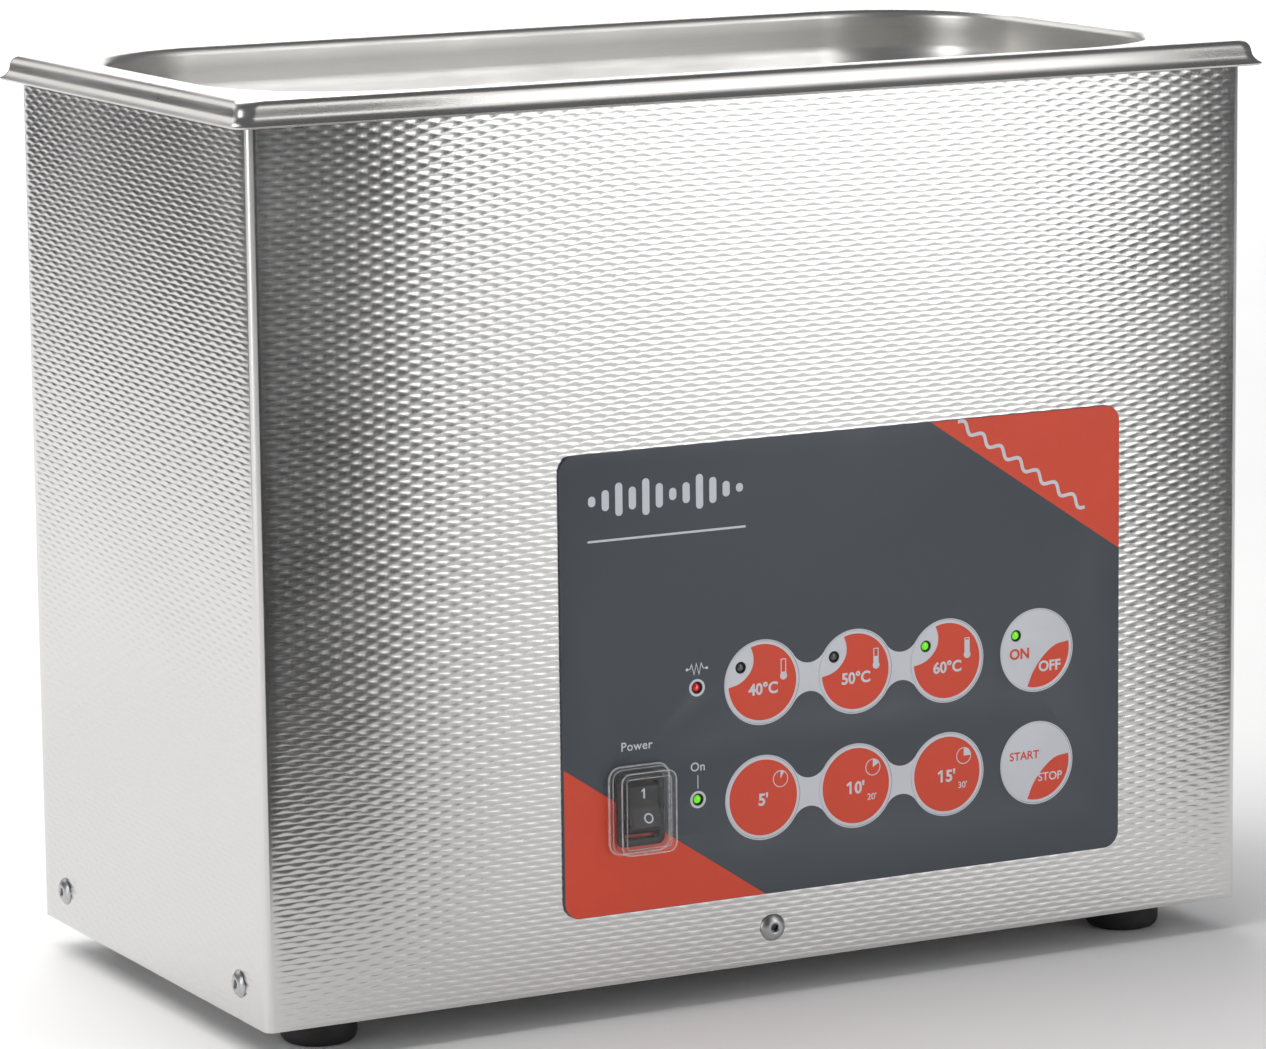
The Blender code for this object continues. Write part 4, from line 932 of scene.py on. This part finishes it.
for name, i, word, share in (("key_5min", 0, "5'", 1 / 12), ("key_10min", 1, "10'", 1 / 6), ("key_15min", 2, "15'", 0.25)):
    x, z = KEY_X[i], KEY_Z[1]
    lettering(name + "_label", [(word[-2:], 3.5, x + (1.2 if i else 0.0), z - 0.5, W)], 2, M["key_pale"], name + "_plunger")
    if i:
        one = [(-0.05, -1.8), (0.65, -1.8), (0.65, 1.85), (0.05, 1.85), (-1.05, 1.15), (-0.8, 0.5), (-0.05, 0.95)]
        printed(name + "_label_one", moved([one], x - 2.1, z - 0.5), 2, M["key_pale"], name + "_plunger")
    ring, wedge = pie(x + 5.7, z + 4.9, share)
    printed(name + "_dial", ring, 2, M["key_pale"], name + "_plunger")
    printed(name + "_dial_share", [wedge], 3, M["key_pale"], name + "_plunger")
    if i:
        lettering(name + "_second_label", [(("20'", "30'")[i - 1], 1.9, x + 5.3, z - 3.7, {"weight": 0.08})], 2,
                  M["key_pale"], name + "_plunger")

lettering("key_heat_on_label", [("ON", 3.1, KEY_X[3] - 5.9, KEY_Z[0] - 0.5, W)], 2, M["key_orange"],
          "key_heat_on_off_plunger")
lettering("key_heat_off_label", [("OFF", 3.1, KEY_X[3] + 4.5, KEY_Z[0] - 4.9, W)], 2, M["key_pale"],
          "key_heat_on_off_plunger")
lettering("key_start_label", [("START", 2.5, KEY_X[3] - 4.15, KEY_Z[1] + 2.6, {"weight": 0.14})], 2, M["key_orange"],
          "key_start_stop_plunger")
lettering("key_stop_label", [("STOP", 2.5, KEY_X[3] + 4.7, KEY_Z[1] - 4.4, {"weight": 0.14})], 2, M["key_pale"],
          "key_start_stop_plunger")

# ------------------------------------------------------------------ lamps
TIP = PANEL_FACE + 0.14
LENS = [(0.0, TIP), (0.35, TIP + 0.02), (0.65, TIP + 0.07), (0.90, TIP + 0.15), (1.08, TIP + 0.27), (1.17, TIP + 0.42),
        (1.2, TIP + 0.7), (1.2, FRONT + 6.2), (1.9, FRONT + 6.2), (1.9, FRONT + 7.3), (0.0, FRONT + 7.3)]
for name, x, z, look in (("led_40c", KEY_X[0] - 7.0, KEY_Z[0] + 4.9, "lamp_off"),
                         ("led_50c", KEY_X[1] - 7.0, KEY_Z[0] + 4.9, "lamp_off"),
                         ("led_60c", KEY_X[2] - 7.0, KEY_Z[0] + 4.9, "lamp_green"),
                         ("led_heat_on", KEY_X[3] - 7.0, KEY_Z[0] + 4.9, "lamp_green"),
                         ("led_heater", LAMP_X, LAMP_Z[0], "lamp_red"),
                         ("led_power", LAMP_X, LAMP_Z[1], "lamp_green")):
    piece(name + "_lens", lambda bm, m=at(place_front, x, z): lathe(bm, LENS, 32, m), M[look], "root", 50.0, (name,))
    # dark sleeve round the lens, seated in the panel behind the key
    sleeve = [(1.24, TIP + 0.35), (1.32, TIP + 0.16), (1.45, TIP + 0.07), (1.71, TIP + 0.05), (1.71, FRONT + 0.9), (1.24, FRONT + 0.9)]
    piece(name + "_sleeve", lambda bm, m=at(place_front, x, z), p=sleeve: lathe(bm, p, 32, m), M["switch_black"], "root",
          40.0)

core = [(0.0, TIP - 0.035), (0.16, TIP - 0.025), (0.26, TIP + 0.0), (0.30, TIP + 0.05), (0.30, TIP + 0.4), (0.0, TIP + 0.4)]
piece("led_heater_core", lambda bm: lathe(bm, core, 24, at(place_front, LAMP_X, LAMP_Z[0])), LAMP_CORE, "root",
      50.0)

# ------------------------------------------------------------------ power switch
COVER_BACK = PANEL_FACE - 0.1
BEZEL_BACK = COVER_BACK - 1.1
BEZEL_FRONT = BEZEL_BACK - 1.4
PIVOT_Y, TILT = -80.6, math.radians(10.0)


def switch_frame(bm):
    m = at(place_front, *SWITCH)
    hx, hz = 7.5, 10.5
    seq = [(5.3, 8.3, 0.8, PIVOT_Y + 6.5), (5.3, 8.3, 0.8, BEZEL_FRONT + 0.45), (5.45, 8.45, 0.95, BEZEL_FRONT + 0.12),
           (5.7, 8.7, 1.1, BEZEL_FRONT), (6.6, 9.6, 1.5, BEZEL_FRONT), (7.1, 10.1, 1.7, BEZEL_FRONT + 0.08),
           (7.4, 10.4, 1.9, BEZEL_FRONT + 0.35), (hx, hz, 2.0, BEZEL_FRONT + 0.75), (hx, hz, 2.0, BEZEL_BACK),
           (6.4, 9.4, 0.9, BEZEL_BACK), (6.4, 9.4, 0.9, FRONT + 19.9)]
    loft(bm, [[m(u, v, w) for u, v in rounded(a, b, r, 8)] for a, b, r, w in seq])


piece("switch_body_moulded", switch_frame, M["switch_black"], "root", 40.0, ("switch_body",))


def tipped(v, d):
    c, s = math.cos(TILT), math.sin(TILT)
    return v * c + d * s, d * c - v * s


def rocker_loops():
    tip = PIVOT_Y - (BEZEL_FRONT - 2.5)
    flat = 5.8
    side = [(-7.7, 0.9), (-7.6, 2.2), (-6.42, tip - 0.95), (-6.3, tip - 0.55), (-6.08, tip - 0.22), (-flat, tip - 0.03)]
    for k in range(0, 25):
        t = -1 + k / 12.0
        dip = math.tan(TILT) * flat * (1 - math.sqrt(t * t + 0.0006))
        side.append((t * 5.55, tip - dip - 0.02))
    side += [(flat, tip - 0.03), (6.08, tip - 0.22), (6.3, tip - 0.55), (6.42, tip - 0.95), (7.6, 2.2), (7.7, 0.9)]
    for k in range(1, 12):
        a = math.pi * k / 12
        side.append((2.6 * math.cos(a), 0.7 - 3.4 * math.sin(a)))
    return side


def rocker(bm):
    hw = 4.9
    side = rocker_loops()
    loops = []
    for u, shrink in ((-hw, 0.55), (-hw + 0.05, 0.38), (-hw + 0.18, 0.18), (-hw + 0.38, 0.05), (-hw + 0.65, 0.0),
                      (hw - 0.65, 0.0), (hw - 0.38, 0.05), (hw - 0.18, 0.18), (hw - 0.05, 0.38), (hw, 0.55)):
        loop = []
        for v, d in side:
            vv, dd = tipped(v * (1 - shrink / 8.0), d - (shrink if d > 2.0 else 0.0))
            loop.append(((SWITCH[0] + u) * 1.0, PIVOT_Y - dd, SWITCH[1] + vv))
        loops.append(loop)
    loft(bm, loops)


piece("switch_rocker_moulded", rocker, M["switch_black"], "rocker", 50.0, ("switch_rocker",))


def trunnions(bm):
    for s in (-1, 1):
        prof = [(0.0, SWITCH[0] + s * 4.6), (1.2, SWITCH[0] + s * 4.6), (1.2, SWITCH[0] + s * 5.9), (1.0, SWITCH[0] + s * 6.1),
                (0.0, SWITCH[0] + s * 6.1)]
        lathe(bm, prof, 24, at(place_side, PIVOT_Y, SWITCH[1]))


piece("switch_rocker_trunnions", trunnions, M["switch_black"], "rocker", 40.0)


def rocker_marks():
    """A raised 1 and O on the rocker's face."""
    tip = PIVOT_Y - (BEZEL_FRONT - 2.5)

    def face_point(v):
        t = min(1.0, abs(v) / 5.55)
        return tip - 0.02 - math.tan(TILT) * 5.8 * (1 - t)

    out = []
    me = plate_mesh("marks", [[(-0.25, 2.6), (0.25, 2.6), (0.25, 5.4), (-0.15, 5.4), (-0.85, 4.8), (-0.85, 4.4),
                               (-0.25, 4.8)]], 0.5, -0.5)
    out.append(me)
    me2 = plate_mesh("marks_o", [circle(1.45, 40, 0.85, -3.2), circle(1.05, 40, 0.85, -3.2)], 0.5, -0.5)
    out.append(me2)
    bm = bmesh.new()
    for m_ in out:
        bm.from_mesh(m_)
    for v in bm.verts:
        x, y, z = v.co / MM
        d = face_point(z) + (0.06 if y < 0 else -0.1)
        vv, dd = tipped(z, d)
        v.co = Vector((SWITCH[0] + x, PIVOT_Y - dd, SWITCH[1] + vv)) * MM
    bmesh.ops.recalc_face_normals(bm, faces=bm.faces)
    me = bpy.data.meshes.new("switch_rocker_marks")
    bm.to_mesh(me)
    bm.free()
    dress("switch_rocker_marks", me, PALE_INK, "rocker", 30.0)


rocker_marks()


def cover_shell(bm):
    """Front skin and inner skin of the clear cover."""
    m = at(place_front, *SWITCH)
    hx, hz = 9.9, 13.0
    b = COVER_BACK
    outer = bevelled([(6.75, b), (hx, b), (hx, b - 1.6), (hx - 0.8, b - 2.1), (hx - 0.95, b - 7.3),
                      (hx - 2.3, b - 7.3), (hx - 2.6, b - 7.1), (1.0, b - 7.1)], 0.45, 4)
    inner = bevelled([(1.0, b - 6.65), (hx - 2.1, b - 6.65), (hx - 1.95, b - 0.9), (6.75, b - 0.9)], 0.4, 4)

    def loop(o, w):
        g = o - hx
        return [m(u, v, w) for u, v in rounded(hx + g, hz + g, max(0.3, 3.9 + g), 10)]

    rows = [[bm.verts.new([c * MM for c in p]) for p in loop(o, w)] for o, w in outer + inner]
    n = len(rows[0])
    cut = len(outer)
    for i in list(range(cut - 1)) + list(range(cut, len(rows) - 1)):
        a, c = rows[i], rows[i + 1]
        for k in range(n):
            bm.faces.new((a[k], a[(k + 1) % n], c[(k + 1) % n], c[k]))
    bm.faces.new(rows[cut - 1])
    bm.faces.new(rows[cut])
    a, c = rows[-1], rows[0]
    for k in range(n):
        bm.faces.new((a[k], a[(k + 1) % n], c[(k + 1) % n], c[k]))


piece("switch_cover_shell", cover_shell, M["clear_cover"], "root", 40.0, ("switch_cover",))


def cover_ridges(bm):
    """Rounded beads of the cover, where it is thick."""
    m = at(place_front, *SWITCH)
    b = COVER_BACK
    for g, w, r in ((0.0, b - 0.9, 0.30), (-0.85, b - 2.3, 0.14), (-1.2, b - 7.15, 0.24), (-2.8, b - 7.08, 0.15)):
        loops = []
        for k in range(10):
            a = 2 * math.pi * k / 10
            gg, ww = g + r * math.cos(a) - (r if g == 0.0 else 0.0), w + r * math.sin(a)
            loops.append([m(u, v, ww) for u, v in rounded(9.9 + gg, 13.0 + gg, 3.9 + gg, 10)])
        loft(bm, loops, ring=True)


# the pale, more opaque bead material is partly painted highlight
piece("switch_cover_ridges", cover_ridges, RIDGE_HIGHLIGHT, "root", 60.0)

# ------------------------------------------------------------------ mains inlet
SOCKET_Z, DRAWER_Z = 5.0, -10.0


def socket_outline(g=0.0):
    hx, hz, c = 12.25 - g, 8.5 - g, 4.5
    return [(hx, SOCKET_Z - hz), (hx, SOCKET_Z + hz - c), (hx - c, SOCKET_Z + hz),
            (-hx + c, SOCKET_Z + hz), (-hx, SOCKET_Z + hz - c), (-hx, SOCKET_Z - hz)]


def rounded_poly(pts, r, n=4):
    p = [np.array(q, float) for q in pts]
    out = []
    for i in range(len(p)):
        a, b, c = p[i - 1], p[i], p[(i + 1) % len(p)]
        s = b + (a - b) / np.hypot(*(a - b)) * r
        e = b + (c - b) / np.hypot(*(c - b)) * r
        for k in range(n + 1):
            t = k / n
            out.append(tuple((1 - t) ** 2 * s + 2 * t * (1 - t) * b + t * t * e))
    return out


def slide_back(y):
    return np.array(y)


inlet_face = [rounded(25.0, 18.0, 3.5, 8, *INLET),
              [(INLET[0] + x, INLET[1] + z) for x, z in rounded_poly(socket_outline(), 0.8)],
              rounded(10.0, 4.0, 0.5, 3, INLET[0], INLET[1] + DRAWER_Z)]
inlet_face += [circle(1.8, 28, INLET[0] + s * 20.0, INLET[1]) for s in (-1, 1)]
plate("mains_inlet_flange", inlet_face, FL0, FL1, M["inlet_black"], "root", 0.35, ("mains_inlet",))


def inlet_well(bm):
    """Walls and floor of the socket, and the hidden body behind the flange."""
    m = at(place_front, *INLET)
    out = rounded_poly(socket_outline(-0.02), 0.8)
    back = rounded_poly(socket_outline(-0.9), 0.8)
    loft(bm, [[m(u, v, w) for u, v in p] for p, w in
              ((out, FL1 - 17.0), (out, FL1 - 0.5), (back, FL1 - 0.5), (back, FL1 - 18.0))])


piece("mains_inlet_well", inlet_well, M["inlet_black"], "root", 40.0)


def inlet_housing(bm):
    m = at(place_front, *INLET)
    rows = [[m(u, v, w) for u, v in rounded(a, b, r, 4)] for a, b, r, w in
            ((13.4, 14.9, 1.2, FL0), (14.0, 15.5, 1.5, FL0), (14.0, 15.5, 1.5, BACK - 24.0), (13.4, 14.9, 1.2, BACK - 24.5),
             )]
    vs = [[bm.verts.new([c * MM for c in p]) for p in loop] for loop in rows]
    n = len(vs[0])
    for a, b in zip(vs, vs[1:]):
        for k in range(n):
            bm.faces.new((a[k], a[(k + 1) % n], b[(k + 1) % n], b[k]))
    bm.faces.new(vs[-1])


piece("mains_inlet_housing", inlet_housing, M["inlet_black"], "root", 40.0)


def inlet_pins(bm):
    m = at(place_front, *INLET)
    for u, v in ((-7.0, SOCKET_Z - 2.0), (7.0, SOCKET_Z - 2.0), (0.0, SOCKET_Z + 2.0)):
        loft(bm, [[m(a, b, w) for a, b in rounded(1.0 - g, 2.0 - g, 0.35, 3, u, v)] for g, w in
                  ((0.0, FL1 - 17.2), (0.0, FL1 - 6.6), (0.15, FL1 - 6.0), (0.45, FL1 - 5.6))])


piece("mains_inlet_pins", inlet_pins, M["screw_steel"], "root", 40.0)


def cross_screw(name, x, z, face):
    """Pan head with a cross recess."""
    def build(bm):
        prof = [(0.0, face + 1.72), (0.8, face + 1.70), (1.6, face + 1.58), (2.3, face + 1.25), (2.75, face + 0.75), (2.9, face + 0.2),
                (2.85, face + 0.08), (1.45, face + 0.08), (1.45, face - 9.0), (1.1, face - 9.6), (0.0, face - 9.6)]
        lathe(bm, prof, 36, at(place_front, x, z))
    ob = piece(name, build, M["screw_steel"], "root", 40.0)

    def slot_cut(bm):
        m = at(place_front, x, z)
        for hx, hz in ((1.55, 0.36), (0.36, 1.55)):
            loft(bm, [[m(u * k, v * k, w) for u, v in rounded(hx, hz, 0.12, 2)] for k, w in
                      ((0.55, face + 0.5), (1.0, face + 2.2))])
    bm = bmesh.new()
    slot_cut(bm)
    bmesh.ops.recalc_face_normals(bm, faces=bm.faces)
    me = bpy.data.meshes.new(name + "_cutter")
    bm.to_mesh(me)
    bm.free()
    cutter = bpy.data.objects.new(name + "_cutter", me)
    SCENE.collection.objects.link(cutter)
    b = ob.modifiers.new("recess", "BOOLEAN")
    b.operation, b.solver, b.object, b.use_self = "DIFFERENCE", "EXACT", cutter, True
    dg = bpy.context.evaluated_depsgraph_get()
    new = bpy.data.meshes.new_from_object(ob.evaluated_get(dg))
    ob.modifiers.clear()
    ob.data = new
    bpy.data.objects.remove(cutter)
    new.shade_smooth()
    new.set_sharp_from_angle(angle=math.radians(35))
    return ob


for s, lr in ((-1, "left"), (1, "right")):
    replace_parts(cross_screw(f"inlet_screw_{lr}_head", INLET[0] + s * 20.0, INLET[1], FL1), f"inlet_screw_{lr}")


def drawer(bm):
    m = at(place_front, INLET[0], INLET[1] + DRAWER_Z)
    hx, hz = 9.7, 3.7
    seq = [(hx, hz, 0.5, FL1 - 0.6), (hx, hz, 0.5, FL1 + 0.3), (hx + 1.0, hz + 0.8, 1.0, FL1 + 0.32),
           (hx + 1.2, hz + 1.0, 1.1, FL1 + 0.5), (hx + 1.2, hz + 1.0, 1.1, FL1 + 1.0),
           (hx + 1.05, hz + 0.85, 1.0, FL1 + 1.35), (hx + 0.7, hz + 0.5, 0.8, FL1 + 1.6),
           (4.4, 1.7, 0.9, FL1 + 1.6), (4.2, 1.5, 0.8, FL1 + 1.5), (4.0, 1.3, 0.7, FL1 + 1.05)]
    loft(bm, [[m(u, v, w) for u, v in rounded(a, b, r, 5)] for a, b, r, w in seq])
    # tray walls round the fuse
    z0, z1 = INLET[1] + DRAWER_Z - hz, INLET[1] + DRAWER_Z + hz
    for x0, x1, y0, y1, zz0, zz1 in ((-hx, -4.0, FL1 - 21.2, FL1 - 0.6, z0, z1), (4.0, hx, FL1 - 21.2, FL1 - 0.6, z0, z1),
                                     (-4.0, 4.0, FL1 - 21.2, FL1 - 20.8, z0, z1), (-4.0, 4.0, FL1 - 20.8, FL1 - 0.6, z0, z0 + 1.0)):
        cx, cy = INLET[0] + (x0 + x1) / 2, (y0 + y1) / 2
        prism(bm, rounded((x1 - x0) / 2, (y1 - y0) / 2, 0.15, 2, cx, cy), zz0, zz1, place_plan)


piece("fuse_drawer_moulded", drawer, M["inlet_black"], "fuse_tray", 38.0, ("fuse_drawer",))


def fuse_caps(bm):
    z = INLET[1] + DRAWER_Z + 0.1
    m = at(place_front, INLET[0], z)
    for a, b in ((FL1 - 20.4, FL1 - 15.4), (FL1 - 5.8, FL1 - 0.8)):
        lathe(bm, [(0.0, a), (2.3, a), (2.6, a + 0.3), (2.6, b - 0.3), (2.5, b), (0.0, b)], 32, m)


def fuse_glass(bm):
    z = INLET[1] + DRAWER_Z + 0.1
    m = at(place_front, INLET[0], z)
    lathe(bm, [(0.0, FL1 - 15.5), (2.35, FL1 - 15.5), (2.35, FL1 - 5.7), (0.0, FL1 - 5.7)], 32, m)


piece("fuse_caps", fuse_caps, M["screw_steel"], "fuse_tray", 40.0)
piece("fuse_tube", fuse_glass, M["fuse_glass"], "fuse_tray", 40.0, ("fuse",))

# ------------------------------------------------------------------ floor and light
floor_mat = Nodes("floor_look")
fine = floor_mat.noise(0.004, 4.0, 0.5)
floor_mat.link(floor_mat.ramp(fine, ((0.3, (0.90, 0.90, 0.905)), (0.7, (0.93, 0.93, 0.935)))), floor_mat.p.inputs["Base Color"])
floor_mat.set(Roughness=0.85, IOR=1.3)
fm = bpy.data.meshes.new("floor")
fm.from_pydata([(-12, -12, 0), (12, -12, 0), (12, 12, 0), (-12, 12, 0)], [], [(0, 1, 2, 3)])
floor = bpy.data.objects.new("floor", fm)
fm.materials.append(floor_mat.mat)
SCENE.collection.objects.link(floor)

# plain pale surround, seen directly and never mirrored
dome_mat = Nodes("surround_look")
haze = dome_mat.noise(0.003, 2.0, 0.5)
dome_mat.link(dome_mat.ramp(haze, ((0.3, (0.02, 0.02, 0.02)), (0.7, (0.03, 0.03, 0.03)))), dome_mat.p.inputs["Base Color"])
dome_mat.set(Roughness=1.0, Emission_Color=(0.97, 0.98, 1.0, 1.0), Emission_Strength=0.86)
bm = bmesh.new()
bmesh.ops.create_uvsphere(bm, u_segments=64, v_segments=32, radius=11.5)
dm = bpy.data.meshes.new("surround")
bm.to_mesh(dm)
bm.free()
dm.shade_smooth()
dm.materials.append(dome_mat.mat)
dome = bpy.data.objects.new("surround", dm)
SCENE.collection.objects.link(dome)
dome.visible_diffuse = dome.visible_glossy = dome.visible_transmission = dome.visible_shadow = False

world = bpy.data.worlds.new("studio")
SCENE.world = world
world.use_nodes = True
world.node_tree.nodes["Background"].inputs["Color"].default_value = (0.93, 0.95, 1.0, 1.0)
world.node_tree.nodes["Background"].inputs["Strength"].default_value = 0.15
SCENE.view_settings.view_transform = "Standard"


def softbox(name, pos, target, sx, sy, radiance, color=(1.0, 1.0, 1.0)):
    d = bpy.data.lights.new(name, "AREA")
    d.shape = "RECTANGLE"
    d.size, d.size_y = sx, sy
    d.energy = radiance * math.pi * sx * sy
    d.color = color
    ob = bpy.data.objects.new(name, d)
    SCENE.collection.objects.link(ob)
    ob.location = pos
    ob.visible_camera = False
    ob.rotation_euler = (Vector(target) - Vector(pos)).to_track_quat("-Z", "Y").to_euler()
    return ob


fill = softbox("soft_top", (-0.9, 0.3, 2.4), (0.0, 0.0, 0.1), 2.2, 2.2, 3.4, (1.0, 0.985, 0.96))
fill.visible_glossy = False
softbox("soft_front_right", (0.96, -1.75, 0.55), (0.0, 0.0, 0.4), 0.50, 1.10, 3.4)
softbox("soft_front_high", (1.0, -1.85, 1.75), (0.0, 0.0, 0.2), 1.3, 1.0, 1.3, (1.0, 0.985, 0.97))
softbox("soft_left", (-2.2, -0.35, 0.7), (0.0, 0.0, 0.25), 0.8, 1.4, 3.0)
softbox("soft_back_right", (1.7, 3.0, 0.75), (0.0, 0.0, 0.3), 1.8, 1.1, 1.9)
softbox("soft_back_left", (-1.6, 2.6, 1.5), (0.0, 0.0, 0.3), 2.4, 2.2, 1.15, (1.0, 0.985, 0.97))
softbox("soft_backdrop", (0.9, 3.4, 2.8), (0.0, 4.5, 0.0), 3.4, 2.6, 4.5)


def card(name, corners, grey):
    """Studio card that shades only what shiny metal mirrors."""
    me = bpy.data.meshes.new(name)
    me.from_pydata(corners, [], [(0, 1, 2, 3)])
    look = bpy.data.materials.get(f"card_{grey}") or Nodes(f"card_{grey}").mat
    p = look.node_tree.nodes["Principled BSDF"]
    p.inputs["Base Color"].default_value = (grey, grey, grey, 1.0)
    p.inputs["Roughness"].default_value = 0.95
    me.materials.append(look)
    ob = bpy.data.objects.new(name, me)
    SCENE.collection.objects.link(ob)
    ob.visible_camera = ob.visible_diffuse = ob.visible_transmission = ob.visible_shadow = False


card("card_left_of_light", [(-0.20, -0.3, 0.0), (-0.015, -0.3, 0.0), (0.014, -0.3, 0.36), (-0.20, -0.3, 0.36)], 0.05)
card("card_right_of_light", [(0.27, -0.3, 0.0), (0.42, -0.3, 0.0), (0.42, -0.3, 0.36), (0.255, -0.3, 0.36)], 0.05)
card("card_behind_left", [(-0.75, 0.5, 0.0), (-0.75, 1.9, 0.0), (-0.75, 1.9, 0.50), (-0.75, 0.5, 0.50)], 0.06)
